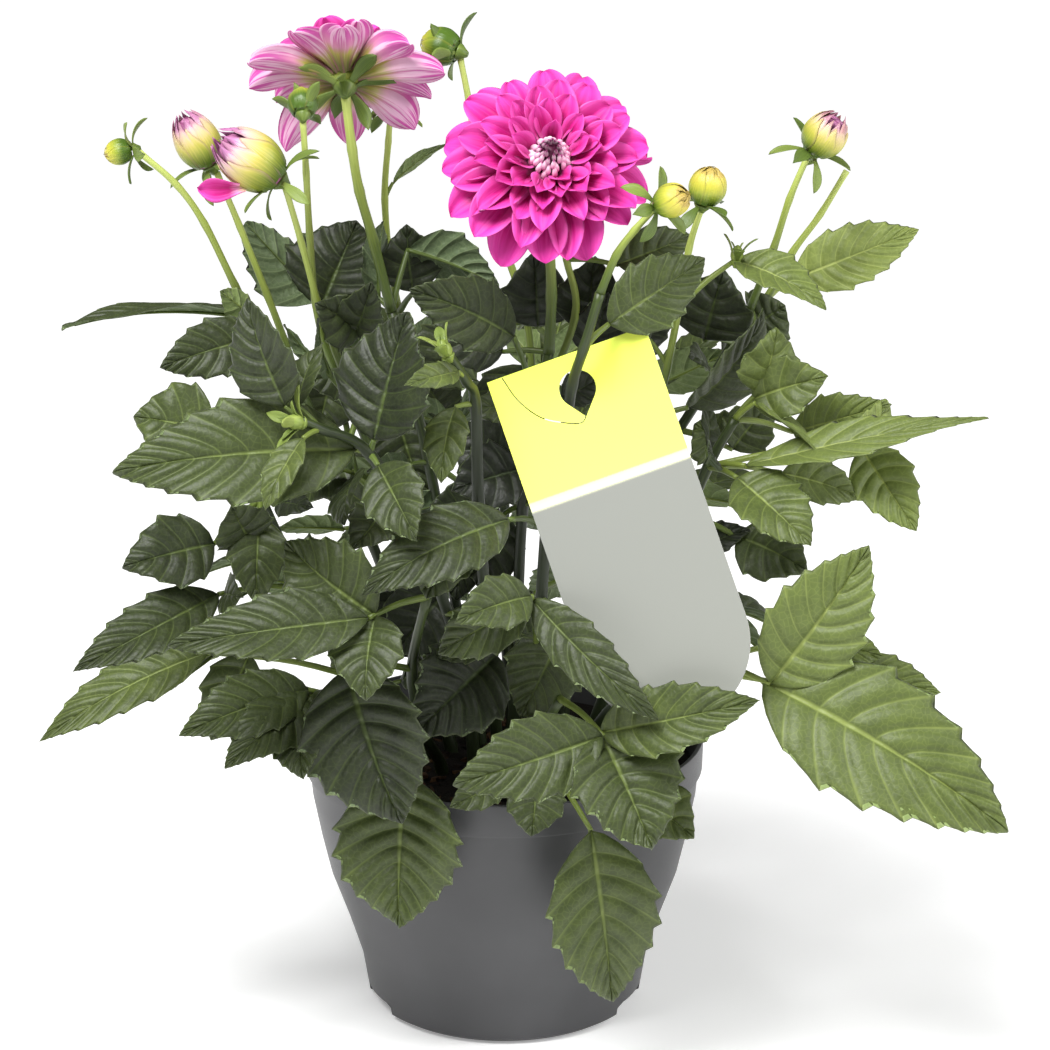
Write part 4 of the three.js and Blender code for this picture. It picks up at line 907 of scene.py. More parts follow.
def leaflet(base, row, tone, rng):
    """One leaflet, and the round midrib under it that runs on from the leaf's stalk."""
    tip, width = np.array(row[:3], float), row[3]
    x, y, _ = (base + tip) / 2
    face = row[4] if len(row) > 4 else unit((x, y, UPWARD * math.hypot(x, y)))
    veins = int(np.clip(round(np.linalg.norm(tip - base) / VEIN_GAP), FEWEST_VEINS, MOST_VEINS))
    steps = [(k + share, out) for k in range(veins) for share, out in ROWS_PER_VEIN][1:]
    counted, reach = (np.array(column) for column in zip(*steps))
    toothed = np.clip((counted / veins - 0.06) / 0.16, 0, 1)
    arch, fold = 0.07 * rng.uniform(0.3, 1.1), 0.17 * rng.uniform(0.5, 1.7)
    twist, wave, phase = rng.uniform(-0.28, 0.28), rng.uniform(0.02, 0.05), rng.uniform(0, 6.28)
    waves, nod = rng.uniform(1.2, 2.4), rng.uniform(0.0, 0.07)

    def form(u, t, v, length):
        away, panel = np.abs(t), np.sin(math.pi * (counted % 1))[:, None] ** 0.8 if u.shape[0] > 1 else 0
        rise = arch * length * 4 * u * (1 - u) + fold * np.abs(v) + twist * v * u - nod * length * u ** 3
        rise = rise + wave * width * np.sin(6.28 * waves * u + phase + 1.4 * np.sign(t)) * away ** 2
        rise = rise + 0.034 * width * panel * np.sqrt(np.clip(4 * away * (1 - away), 0, 1))
        return rise - 0.016 * width * (1 - 0.7 * u) * np.exp(-(away / 0.06) ** 2)

    made = blade(base, tip, face, width, counted / veins, mirrored(LEAF_COLUMNS), leaf_outline, form,
                 LEAF_THICKNESS, (LEAF_UPPER, LEAF_UNDER), tone, slant=0.24,
                 reach=1 + (reach - 1)[:, None] * toothed[:, None], sickle=rng.uniform(-0.03, 0.03))
    made["uv"] = made["uv"] * (veins, 1)
    columns = 2 * len(LEAF_COLUMNS) - 1
    middle = made["points"][:len(counted) * columns].reshape(len(counted), columns, 3)[:, columns // 2]
    path = np.vstack([[base], middle[1::4]])
    along = unit(tip - base)
    down = -unit(np.asarray(face, float) - along * np.dot(face, along))
    radii = np.linspace(*MIDRIB_RADII, len(path)) * min(1.0, width / BROAD_LEAFLET)
    path = path + down * (LEAF_THICKNESS + radii[:, None] * 0.5)
    return [made, tube(path, radii, 6, STEM, 0.14 + 0.35 * tone)]


print("a leaflet has", len(ROWS_PER_VEIN), "rows to a vein and", 2 * len(LEAF_COLUMNS) - 1, "columns")

# %% [markdown]
# ## Stems, stalks and joints
# A dahlia's stem is a smooth green pipe that swells at each joint, where the leaves spring in pairs.
# The curve is the one that the solids follow, with more points and sides. A leaf's stalk is nearly
# straight and runs on into the midrib. Stems are darker near the soil, which is painted shade deep in
# the foliage, and pale yellow-green under the flowers, which is partly their own young colour and
# partly painted light.

# %% Round stems and leaf stalks
SEAT_HEIGHT, RISE_HEIGHT = 100, 123     # the foot of a stem inside the soil, and where it has left it
MAIN_RADII, LEAF_STALK_RADII = (3.4, 2.2), (1.7, 1.2)
BLOOM_STALK_RADII, BUD_STALK_RADII = (2.6, 2.3), (2.0, 1.5)
# the low tones are painted shade deep in the foliage; the pale high end of the stalks is partly their own
# colour and partly painted light
MAIN_TONES, STALK_TONES = (-0.25, 0.05), (0.12, 0.74)
STEM_STEPS = 6


def stem(points, radii, low_tone, high_tone):
    """A round stem through its points, swollen a little at each joint."""
    path = smooth_path(points, STEM_STEPS)
    share = np.linspace(0, 1, len(path))
    radius = radii[0] + (radii[1] - radii[0]) * share
    to_joint = np.abs((np.arange(len(path)) + STEM_STEPS / 2) % STEM_STEPS - STEM_STEPS / 2)
    radius = radius * (0.94 + 0.14 * np.exp(-(to_joint / 0.8) ** 2))
    return tube(path, radius, 12, STEM, low_tone + (high_tone - low_tone) * share)


def leaf(start, joint, blades, tone, rng):
    """A leaf of one or more leaflets on one stalk."""
    start, end = np.asarray(start, float), np.asarray(joint, float)
    middle = (start + end) / 2 + (0, 0, 0.04 * np.linalg.norm(end - start))
    path = smooth_path([start, middle, end], 5)
    radii = np.linspace(*LEAF_STALK_RADII, len(path)) * min(1, 0.45 + max(row[3] for row in blades) / 50)
    parts = [tube(path, radii, 8, STEM, 0.12 + 0.4 * tone)]
    back = end - 4 * unit(end - start)
    for k, row in enumerate(blades):
        parts += leaflet(end if k == 0 else back, row, tone + rng.uniform(-0.06, 0.06), rng)
    return parts


print("radii of a main stem:", MAIN_RADII, "and of a leaf's stalk:", LEAF_STALK_RADII)

# %% [markdown]
# ## Bracts
# Under every bloom and bud sits a green cup whose rim runs out in a star of spoon-shaped bracts, thick
# and smooth, that curl back towards the stem. A young shoot bud is a small green head in such a cup.

# %% Flower seats and young buds
BRACT_ROWS = np.linspace(0.08, 0.95, 9)
SPOON_COLUMNS = mirrored(np.array([0, 0.3, 0.6, 0.85, 1]))
BRACT_THICKNESS = 0.7
BRACT_LEANS = (-26, 20)     # every other bract stands higher, and the ones between lower
BLOOM_SEAT = {"seat": 5.5, "bracts": 7, "length": 18, "width": 7, "droop": 16, "tone": 0.32}


def bud_seat(wide, droop):
    """The measures of the cup and bracts under a bud, from the bud's own width."""
    return {"seat": 0.13 * wide + 1.8, "bracts": 6, "length": 8 + 0.45 * wide, "width": 6,
            "droop": droop, "tone": 0.34}


def spoon_outline(u):
    """A narrow handle, and a round end that is widest well past the middle."""
    return 0.36 * (1 - u) + np.sin(math.pi * np.clip(u, 0, 1) ** 1.7) ** 0.9


def bract(base, tip, width, face, tone, curl):
    """One thick spoon-shaped scale that curls back towards its stem."""
    def form(u, t, v, length):
        return 0.16 * width * t ** 2 * u - curl * length * u ** 2 + 0.1 * length * 4 * u * (1 - u)

    return blade(base, tip, face, width, BRACT_ROWS, SPOON_COLUMNS, spoon_outline, form,
                 BRACT_THICKNESS, (BRACT, BRACT), tone)


def flower_seat(at, axis, rng, seat, bracts, length, width, droop, tone):
    """A cup at the end of a stem, with its star of bracts."""
    at, axis = np.asarray(at, float), unit(axis)
    one, two = cross_axes(axis)
    cup = [(0, -1.25), (0.32, -1.2), (0.6, -0.75), (0.95, -0.3), (1, -0.12), (0.7, -0.02), (0, 0)]
    parts = [turned([(r * seat, h * seat) for r, h in cup], 20, at, axis, BRACT, tone)]
    for k in range(bracts):
        turn = 2 * math.pi * k / bracts
        lean = math.radians(droop + BRACT_LEANS[k % 2] + rng.uniform(-9, 9))
        out = one * math.cos(turn) + two * math.sin(turn)
        way = out * math.cos(lean) - axis * math.sin(lean)
        root = at + out * 0.62 * seat - axis * 0.2 * seat
        tip = at + out * seat + way * length
        face = axis * math.cos(lean) + out * math.sin(lean)
        parts.append(bract(root, tip, width * rng.uniform(0.8, 1.1), face,
                           tone + rng.uniform(-0.12, 0.15), rng.uniform(-0.05, 0.28)))
    return parts


def young_bud(at, axis, size, rng):
    """The green head at the end of a young shoot, in two stars of short bracts."""
    at, axis = np.asarray(at, float), unit(axis)
    head = [(0, -0.3), (0.28, -0.1), (0.42, 0.25), (0.42, 0.5), (0.3, 0.82), (0.12, 1.0), (0, 1.05)]
    parts = [turned([(r * size, h * size) for r, h in head], 16, at, axis, BRACT, 0.55)]
    for scale, droop in ((1.0, -50), (0.7, -72)):
        parts += flower_seat(at, axis, rng, seat=0.4 * size * scale, bracts=4, length=1.8 * size * scale,
                             width=0.7 * size * scale, droop=droop, tone=0.5)
    return parts


print("bracts under a bloom:", BLOOM_SEAT["bracts"], "and under a bud:", bud_seat(20, 0)["bracts"])

# %% [markdown]
# ## Buds and blooms: where they sit
# Each bud row gives its name, the stem that carries it, its foot, its axis, how wide and long it is,
# its scales in one ring, whether its tips have parted, and how far its bracts droop. A bloom row begins
# in the same way, as far as the axis, and then gives its radius, its petals and the turn of its first
# petal.

# %% The flower heads' measures
BUDS = (
    ("bud_far_left", "shoot_far_left", (-170, 0, 419), (-0.95, -0.1, -0.15), 12, 13, 5, False, 8),
    ("bud_left_upper", "shoot_far_left", (-136, 19, 408), (-0.45, -0.1, 0.88), 21, 27, 6, True, 30),
    ("bud_left_open", "shoot_left", (-102, -25, 411), (-0.75, -0.2, 0.6), 26, 34, 6, True, 15),
    ("bud_left_turned", "shoot_left", (-91, -8, 437), (-0.05, 0.8, 0.6), 14, 15, 5, False, -62),
    ("bud_back_left", "shoot_back_left", (-54, 69, 423), (0.1, 0.5, 0.85), 14, 15, 5, False, 12),
    ("bud_top", "shoot_centre", (-21, 33, 458), (-0.85, 0.35, 0.2), 18, 19, 5, False, -35),
    ("bud_front", "shoot_front", (68, -91, 414), (0.75, -0.5, 0.4), 15, 17, 5, False, 12),
    ("bud_right", "shoot_right", (90, -40, 403), (0.25, -0.1, 0.95), 17, 18, 5, False, 20),
    ("bud_far_right", "shoot_back_right", (143, 20, 414), (0.55, -0.25, 0.8), 20, 22, 6, True, 25),
)
BLOOMS = (
    ("bloom_front", "shoot_centre", (20, -44, 420), (0.08, -0.8, 0.6), 53, 60, 60),
    ("bloom_back", "shoot_back_left", (-73, 21, 444), (-0.03, 0.84, 0.54), 49, 32, 210),
)
print("flower heads:", len(BUDS), "buds and", len(BLOOMS), "blooms")

# %% [markdown]
# ## Whole shoots
# A leaf's tone holds painted shade and painted light: a leaf is darker in the heart of the plant, as
# painted shade, and lighter out in the open and on the right side, as painted light. It is also lighter
# when young, and where it hangs down past the pot's rim. Small leaves grow in the corners between some
# stems and their leaf stalks, with the low tone of the plant's heart, which is painted shade.

# %% Leafy stems
# the stems with room round their joints for the small leaves that grow in a leaf's corner
BUSHY = ("shoot_far_left", "shoot_left", "shoot_left_low", "shoot_back_left", "shoot_centre",
         "shoot_right", "shoot_back_right", "shoot_right_middle")


def side_leaves(at, rng):
    """A pair of half-grown leaves in the corner between a stem and its leaf stalks."""
    turn, parts = rng.uniform(0, 2 * math.pi), []
    for side in (0, math.pi):
        way = np.array([math.cos(turn + side), math.sin(turn + side), rng.uniform(0.1, 0.7)])
        joint, tip = at + way * rng.uniform(9, 13), at + way * rng.uniform(34, 48)
        # a low tone like that of the leaves in the plant's heart: painted shade
        parts += leaf(at, joint, [(*tip, rng.uniform(15, 22))], rng.uniform(0.1, 0.35), rng)
    return parts


# HEART_TONE is the painted shade of the plant's heart; the two painted tones add painted light far out and on
# the right side
HEART_TONE, PAINTED_OPEN_LIGHT_TONE, PAINTED_SIDE_LIGHT_TONE, YOUNG_TONE, HANGING_TONE = 0.14, 0.32, 0.1, 0.25, 0.24
PLANT_REACH = 200
GROWN_WIDTH = 34
HANGING_HEIGHT = 134
BLOOM_NECK = 8          # a stalk that ends this near to a bloom's foot carries the bloom


def leaf_tone(blades, rng):
    """How light a leaf is: painted shade in the plant's heart, painted light far out and on the right, and
    lighter when young and where it hangs low.
    """
    x, y, z = np.mean([row[:3] for row in blades], axis=0)
    open_air = min(1, math.hypot(x, y) / PLANT_REACH)
    young = max(0, 1 - max(row[3] for row in blades) / GROWN_WIDTH)
    hanging = min(1, max(0, 1 - z / HANGING_HEIGHT) * 2)
    return (HEART_TONE + PAINTED_OPEN_LIGHT_TONE * open_air ** 1.5 + PAINTED_SIDE_LIGHT_TONE * x / PLANT_REACH
            + YOUNG_TONE * young + HANGING_TONE * hanging + rng.uniform(-0.12, 0.12))


def leafy_stem(shoot):
    """Everything green that one foot in the soil carries."""
    name = shoot["name"]
    rng = random.Random(name)
    x, y = shoot["foot"]
    parts = [stem([(x, y, SEAT_HEIGHT), (x, y, RISE_HEIGHT), *shoot["main"]], MAIN_RADII, *MAIN_TONES)]
    for points in shoot["stalks"]:
        blooms = any(math.dist(points[-1], at) < BLOOM_NECK for _, _, at, *_ in BLOOMS)
        parts.append(stem(points, BLOOM_STALK_RADII if blooms else BUD_STALK_RADII, *STALK_TONES))
    for start, joint, blades in shoot["leaves"]:
        parts += leaf(start, joint, blades, leaf_tone(blades, rng), rng)
    for at, axis, size in shoot["young"]:
        parts += young_bud(at, axis, size, rng)
    for at in shoot["main"][:-1] if name in BUSHY else []:
        parts += side_leaves(np.array(at, float), rng)
    for _, carrier, at, axis, wide, *_, droop in BUDS:
        if carrier == name:
            parts += flower_seat(at, axis, rng, **bud_seat(wide, droop))
    for _, carrier, at, axis, *_ in BLOOMS:
        if carrier == name:
            parts += flower_seat(at, axis, rng, **BLOOM_SEAT)
    return make_piece(name.replace("shoot", "leafy_stem"), parts, GREEN_PARTS, "leaf", name)


for shoot in SHOOTS:
    leafy_stem(shoot)

# %% [markdown]
# ## Petal skins
# A petal's face is magenta, with a painted highlight at the rim, painted shade in its folds and pale
# yellow at the narrow claw. Its back is pink with white streaks and a yellow-green wedge. Face and back
# are two materials with one recipe: colours along the petal, painted shade in the folds, a rim of
# another colour, which on the face is a painted highlight, and long fine streaks.

# %% Petal materials
def petal_material(name, along_stops, fold_shade, fold_shade_share, rim, rim_share, streak, streak_share,
                   across, roughness):
    """A petal skin: colours along it, painted shade in its folds, a rim colour (a painted highlight on the
    face) and long streaks.
    """
    material, shader = new_material(name, roughness, IOR=1.4, Specular_IOR_Level=0.3, Sheen_Weight=0.05)
    uv = add_node(material, "UVMap", uv_map="along_across")
    split = add_node(material, "SeparateXYZ", {"Vector": uv.outputs["UV"]})
    tone = add_node(material, "Attribute", attribute_name="tone")
    lines = add_node(material, "Mapping", {"Vector": uv.outputs["UV"], "Scale": (1.1, across, 1.0)})
    turned_lines = add_node(material, "VectorMath", {0: lines.outputs["Vector"], 1: tone.outputs["Vector"]})
    streaks = add_node(material, "TexNoise", {"Vector": turned_lines.outputs["Vector"], "Scale": 1.0,
                       "Detail": 3.0})
    shift = add_node(material, "Math", {0: streaks.outputs["Fac"], 1: 0.24, 2: split.outputs["X"]},
                     operation="MULTIPLY_ADD")
    colours = add_node(material, "ValToRGB", {"Fac": shift.outputs["Value"]}, stops=along_stops)
    # painted shade: darker along the middle and in the two side folds, less towards the tip
    away = add_node(material, "Math", {0: split.outputs["Y"]}, operation="ABSOLUTE")
    fold = add_node(material, "Math", {0: split.outputs["Y"], 1: 3 * math.pi}, operation="MULTIPLY")
    wave = add_node(material, "Math", {0: fold.outputs["Value"]}, operation="COSINE")
    side_fold = add_node(material, "MapRange", {"Value": wave.outputs["Value"], "From Min": 0.0,
                         "From Max": -1.0, "To Min": 0.0, "To Max": 0.5})
    middle = add_node(material, "MapRange", {"Value": away.outputs["Value"], "From Min": 0.0, "From Max": 0.3,
                      "To Min": 1.0, "To Max": 0.0})
    depth = add_node(material, "Math", {0: side_fold.outputs["Result"], 1: middle.outputs["Result"]},
                     operation="MAXIMUM")
    short = add_node(material, "MapRange", {"Value": split.outputs["X"], "From Min": 0.98, "From Max": 0.55,
                     "To Min": 0.0, "To Max": fold_shade_share})
    dark = add_node(material, "Math", {0: depth.outputs["Value"], 1: short.outputs["Result"]},
                    operation="MULTIPLY")
    fold_shaded = add_node(material, "Mix", {0: dark.outputs["Value"], 6: colours.outputs["Color"],
                       7: linear(fold_shade)}, data_type="RGBA")
    # on the face the lighter rim is a painted highlight on the lifted margins; on the back it is a deeper
    # pink edge
    edge = add_node(material, "MapRange", {"Value": away.outputs["Value"], "From Min": 0.45, "From Max": 1.0,
                    "To Min": 0.0, "To Max": rim_share})
    rimmed = add_node(material, "Mix", {0: edge.outputs["Result"], 6: fold_shaded.outputs[2], 7: linear(rim)},
                      data_type="RGBA")
    fine = add_node(material, "MapRange", {"Value": streaks.outputs["Fac"], "From Min": 0.5, "From Max": 0.58,
                    "To Min": 0.0, "To Max": streak_share})
    onward = add_node(material, "MapRange", {"Value": split.outputs["X"], "From Min": 0.2, "From Max": 0.5})
    shown = add_node(material, "Math", {0: fine.outputs["Result"], 1: onward.outputs["Result"]},
                     operation="MULTIPLY")
    streaked = add_node(material, "Mix", {0: shown.outputs["Value"], 6: rimmed.outputs[2], 7: linear(streak)},
                        data_type="RGBA")
    feed(material, shader, streaked.outputs[2], streaks.outputs["Fac"], 0.3)
    return material


# 9c0a58 is painted shade in the folds, and #ec62bc is a painted highlight at the rim
petal_face = petal_material(
    "dahlia petal, velvety magenta face",
    [(0.18, "#efe2a4"), (0.32, "#e596c0"), (0.46, "#b2126e"), (0.75, "#c31b7f"), (1.1, "#da3da4")],
    "#9c0a58", 0.75, "#ec62bc", 0.6, "#e050a8", 0.2, 8.0, 0.45)
# b04a90 is painted shade in the folds
petal_back = petal_material(
    "dahlia petal, pale silky back",
    [(0.24, "#66781f"), (0.44, "#a9aa3c"), (0.58, "#d593ae"), (0.8, "#cb64a8"), (1.1, "#bd4498")],
    "#b04a90", 0.45, "#c04496", 0.5, "#f4dfeb", 0.5, 6.5, 0.5)
print("petal skins:", petal_face.name, "and", petal_back.name)

# %% [markdown]
# ## Buds
# A dahlia bud is a ball of overlapping scales, green at the foot and golden above with fine stripes.
# As it opens, its scales lengthen and part, turn white with purple lines and show a dark red hollow.
# Each scale is a thin sheet that wraps round the bud's outline, one side over its neighbour, and
# stands out towards its tip. The tone says how far a scale has coloured: 0 is a closed green and
# golden one, 1 a parted white and purple one, and below 0 one that is greener, partly as unripe
# colour and partly as painted shade. The bud that has opened most has let go one petal.

# %% Bud measures and materials
# outlines as (share of the width, share of the length)
CLOSED_OUTLINE = ((0, 0), (0.28, 0.01), (0.44, 0.2), (0.5, 0.42), (0.42, 0.7), (0.2, 0.92), (0, 1))
PARTED_OUTLINE = ((0, 0), (0.28, 0.01), (0.46, 0.22), (0.5, 0.46), (0.41, 0.74), (0.22, 0.98), (0.12, 1.1))
# the rings of scales, each a low and a high end, how far it stands out, its tone, and its turn
CLOSED_RINGS = ((0.02, 0.9, 0.01, 0.0, 0.5), (0.06, 1.0, -0.02, 0.0, 0.0))
PARTED_RINGS = ((0.02, 0.84, 0.02, 0.6, 0.5), (0.06, 0.97, 0.0, 0.85, 0.0), (0.22, 1.03, -0.04, 1.0, 0.5))
# the buds that are greener than the rest, partly as unripe colour and partly as painted shade on buds that
# sit in shade
UNRIPE_AND_SHADED = {"bud_far_left": -0.2, "bud_left_turned": -0.3, "bud_back_left": -0.25, "bud_top": -0.35,
          "bud_far_right": -0.3, "bud_left_upper": -0.1}
MOST_OPENED = "bud_left_open"
LOOSE_PETAL = {"base": (-115, -33, 410), "tip": (-138, -33, 409), "face": (-0.1, -0.95, -0.2), "width": 11}

bud_scale, shader = new_material("dahlia bud scale, waxy and striped", 0.34, IOR=1.42)
uv = add_node(bud_scale, "UVMap", uv_map="along_across")
split = add_node(bud_scale, "SeparateXYZ", {"Vector": uv.outputs["UV"]})
tone = add_node(bud_scale, "Attribute", attribute_name="tone")
lines = add_node(bud_scale, "Mapping", {"Vector": uv.outputs["UV"], "Scale": (0.8, 5.5, 1.0)})
stripes = add_node(bud_scale, "TexNoise", {"Vector": lines.outputs["Vector"], "Scale": 1.4, "Detail": 3.0})
# a tone below 0 turns a scale green: partly unripe colour, partly painted shade
unripe_and_shade = add_node(bud_scale, "Math", {0: tone.outputs["Fac"], 1: 0.0}, operation="MINIMUM")
ripe_to = add_node(bud_scale, "Math", {0: unripe_and_shade.outputs["Value"], 1: split.outputs["X"]})
up = add_node(bud_scale, "Math", {0: stripes.outputs["Fac"], 1: 0.4, 2: ripe_to.outputs["Value"]},
              operation="MULTIPLY_ADD")
closed = add_node(bud_scale, "ValToRGB", {"Fac": up.outputs["Value"]},
                  stops=[(0.3, "#46601d"), (0.5, "#80902e"), (0.75, "#b4b13f"), (1.0, "#cbbd56"),
                         (1.25, "#b8a052")])
parted = add_node(bud_scale, "ValToRGB", {"Fac": up.outputs["Value"]},
                  stops=[(0.3, "#4e621e"), (0.5, "#8f9436"), (0.68, "#c4b45f"), (0.84, "#d8bea2"),
                         (1.1, "#d6adc4"), (1.35, "#b877a6")])
grown = add_node(bud_scale, "Mix", {0: tone.outputs["Fac"], 6: closed.outputs["Color"],
                 7: parted.outputs["Color"]}, data_type="RGBA")
thin = add_node(bud_scale, "MapRange", {"Value": stripes.outputs["Fac"], "From Min": 0.52, "From Max": 0.58,
                "To Min": 0.0, "To Max": 0.5})
high = add_node(bud_scale, "MapRange", {"Value": split.outputs["X"], "From Min": 0.45, "From Max": 0.9})
where = add_node(bud_scale, "Math", {0: thin.outputs["Result"], 1: high.outputs["Result"]},
                 operation="MULTIPLY")
only = add_node(bud_scale, "Math", {0: where.outputs["Value"], 1: tone.outputs["Fac"]}, operation="MULTIPLY")
lined = add_node(bud_scale, "Mix", {0: only.outputs["Value"], 6: grown.outputs[2], 7: linear("#96307a")},
                 data_type="RGBA")
away = add_node(bud_scale, "Math", {0: split.outputs["Y"]}, operation="ABSOLUTE")
rim = add_node(bud_scale, "MapRange", {"Value": away.outputs["Value"], "From Min": 0.72, "From Max": 1.0,
               "To Min": 0.0, "To Max": 0.6})
olive = add_node(bud_scale, "Mix", {0: tone.outputs["Fac"], 6: linear("#7c7c30"), 7: linear("#8f5a78")},
                 data_type="RGBA")
edged = add_node(bud_scale, "Mix", {0: rim.outputs["Result"], 6: lined.outputs[2], 7: olive.outputs[2]},
                 data_type="RGBA")
feed(bud_scale, shader, edged.outputs[2], stripes.outputs["Fac"], 0.3)

bud_hollow, shader = new_material("inside of an opening bud, dark red and velvety", 0.7)
uv = add_node(bud_hollow, "UVMap", uv_map="along_across")
blotch = add_node(bud_hollow, "TexNoise", {"Vector": uv.outputs["UV"], "Scale": 7.0, "Detail": 4.0})
reds = add_node(bud_hollow, "ValToRGB", {"Fac": blotch.outputs["Fac"]},
                stops=[(0.35, "#7a3560"), (0.7, "#b9769f")])
feed(bud_hollow, shader, reds.outputs["Color"], blotch.outputs["Fac"], 0.3)
print("bud skins:", bud_scale.name, "and", bud_hollow.name)

# %% [markdown]
# A closed bud is a core with two rings of scales, and a parted one has three. Every scale of a ring is
# turned a little at random.

# %% Buds from rings of scales
SCALE_ROWS = np.linspace(0.0, 1.0, 14)
SCALE_COLUMNS = mirrored(np.array([0, 0.25, 0.5, 0.75, 0.92, 1]))
SCALE_THICKNESS = 0.4


def bud_scale_sheet(outline, foot, axis, wide, long, turn, low, high, spread, stand, tone, pointed):
    """One scale wrapped round the bud's outline between two heights, standing out towards its tip."""
    one, two = cross_axes(axis)
    curve = smooth_path([(r, 0, h) for r, h in outline], 8)
    u, t = SCALE_ROWS[:, None], SCALE_COLUMNS[None, :]
    middle = len(SCALE_COLUMNS) // 2
    height = low + (high - low) * u
    radius = np.interp(height, curve[:, 2], curve[:, 0]) * wide
    round_tip = np.sqrt(np.clip(1 - u ** 3.2, 0, 1)) * (0.75 + 0.25 * np.sin(math.pi * u))
    sharp_tip = np.clip(1 - u ** 2.8, 0, 1) ** 0.8 * (0.62 + 0.38 * np.sin(math.pi * np.clip(u * 1.2, 0, 1)))
    angle = turn + spread * (sharp_tip if pointed else round_tip) * t
    out = radius * (0.94 + 0.05 * (1 - t ** 2)) + stand * wide * (0.3 + 0.7 * u ** 2) + 0.022 * wide * t

    def at(reach):
        return (foot + (reach * np.cos(angle))[..., None] * one + (reach * np.sin(angle))[..., None] * two
                + (height * long)[..., None] * axis * np.ones_like(t)[..., None])

    body = SCALE_THICKNESS * (1 - np.abs(t) ** 6) * np.ones_like(u)
    upper, lower = at(out + body / 2)[:-1], at(out - body / 2)[:-1]
    tip = foot + (out[-1, middle] * (one * math.cos(turn) + two * math.sin(turn))) + high * long * axis
    base = upper[0, middle] - 0.2 * axis
    uv = np.stack([height + 0 * t, t + 0 * u], -1)[:-1]
    return sheet(upper, lower, base, tip, uv, uv * (long, wide), (0, 0), tone)


def loose_petal(base, tip, face, width):
    """The one petal that an opening bud has let go, folded along its middle."""
    def form(u, t, v, length):
        return 0.45 * width / 2 * np.abs(t) ** 1.3 + 0.1 * length * 4 * u * (1 - u)

    rows = np.linspace(0.04, 0.97, 14)
    return blade(base, tip, face, width, rows, SPOON_COLUMNS, spoon_outline, form, SCALE_THICKNESS,
                 (2, 2), 1.0)


def bud(name, at, axis, wide, long, scales, is_open):
    """One bud: its core, its rings of scales and, on the one that has opened most, the loose petal."""
    axis = unit(axis)
    foot = np.asarray(at, float) + 0.3 * axis
    rng = random.Random(name)
    outline = PARTED_OUTLINE if is_open else CLOSED_OUTLINE
    core = [(0.86 * r * wide, h * long) for r, h in outline if h < 0.72]
    core_end = ((0.2, 0.86), (0, 0.92)) if is_open else ((0.1, 0.93), (0, 0.96))
    core += [(r * wide, h * long) for r, h in core_end]
    parts = [turned(core, 24, foot, axis, 1 if is_open else 0, 0.0)]
    for low, high, stand, colour, shift in PARTED_RINGS if is_open else CLOSED_RINGS:
        for k in range(scales):
            turn = 2 * math.pi * (k + shift) / scales + rng.uniform(-0.12, 0.12)
            top = high + rng.uniform(-0.07, 0.04) if is_open else high
            parts.append(bud_scale_sheet(
                outline, foot, axis, wide, long, turn, low, top, 1.2 * math.pi / scales,
                stand + rng.uniform(-0.01, 0.02), colour + UNRIPE_AND_SHADED.get(name, 0), is_open))
    if name == MOST_OPENED:
        parts.append(loose_petal(**LOOSE_PETAL))
    make_piece(name.replace("bud", "flower_bud"), parts, [bud_scale, bud_hollow, petal_face], "bud", name)


for name, _, at, axis, wide, long, scales, is_open, _ in BUDS:
    bud(name, at, axis, wide, long, scales, is_open)


# %% [markdown]
# ## Blooms
# An open dahlia packs its petals in a spiral, each turned 137.5 degrees from the one before, the outer
# ones wide and flat and the inner ones short and upright. A petal is a cupped blade, folded along its
# middle, pleated by two long grooves and pinched to a short point. At the centre of the flower stands
# a knot of florets that haven't opened, pink and white outside and maroon between, a maroon that is
# partly their own colour and partly painted shade.

# %% The skin of closed florets
floret_skin, shader = new_material("closed dahlia florets, pink with maroon tips", 0.5, IOR=1.4)
uv = add_node(floret_skin, "UVMap", uv_map="along_across")
split = add_node(floret_skin, "SeparateXYZ", {"Vector": uv.outputs["UV"]})
tone = add_node(floret_skin, "Attribute", attribute_name="tone")
long_lines = add_node(floret_skin, "Mapping", {"Vector": uv.outputs["UV"], "Scale": (1.0, 7.0, 1.0)})
lines = add_node(floret_skin, "TexNoise", {"Vector": long_lines.outputs["Vector"], "Scale": 1.6,
                 "Detail": 3.0})
up = add_node(floret_skin, "Math", {0: lines.outputs["Fac"], 1: 0.3, 2: split.outputs["X"]},
              operation="MULTIPLY_ADD")
# the dark first stops, at the florets' feet, are partly their own maroon and partly painted shade between
# them
pinks = add_node(floret_skin, "ValToRGB", {"Fac": up.outputs["Value"]},
                 stops=[(0.2, "#4c1234"), (0.34, "#a84a80"), (0.5, "#e6b4cf"), (0.85, "#f8e2ec"),
                        (1.1, "#d48fb8"), (1.25, "#9c3f78")])
# tone 1 makes the dome dark maroon, painted shade in the gaps; the inner florets take it as their own deeper
# maroon
darker = add_node(floret_skin, "Mix", {0: tone.outputs["Fac"], 6: pinks.outputs["Color"],
                  7: linear("#4a1230")}, data_type="RGBA")
feed(floret_skin, shader, darker.outputs[2], lines.outputs["Fac"], 0.2)
print("floret skin:", floret_skin.name)

# %% [markdown]
# Each measure of a petal changes evenly from the outermost to the innermost, as it does in the solids.
# The number of petals, their cup, fold and pleats, and their small irregularities are finer here. The
# front bloom is seen from above its petals, the back one from behind them: there the petals are more
# slender and stand apart, and their claws meet at a small green knob above the bracts.

# %% Petals in a spiral
GOLDEN_ANGLE = 137.508
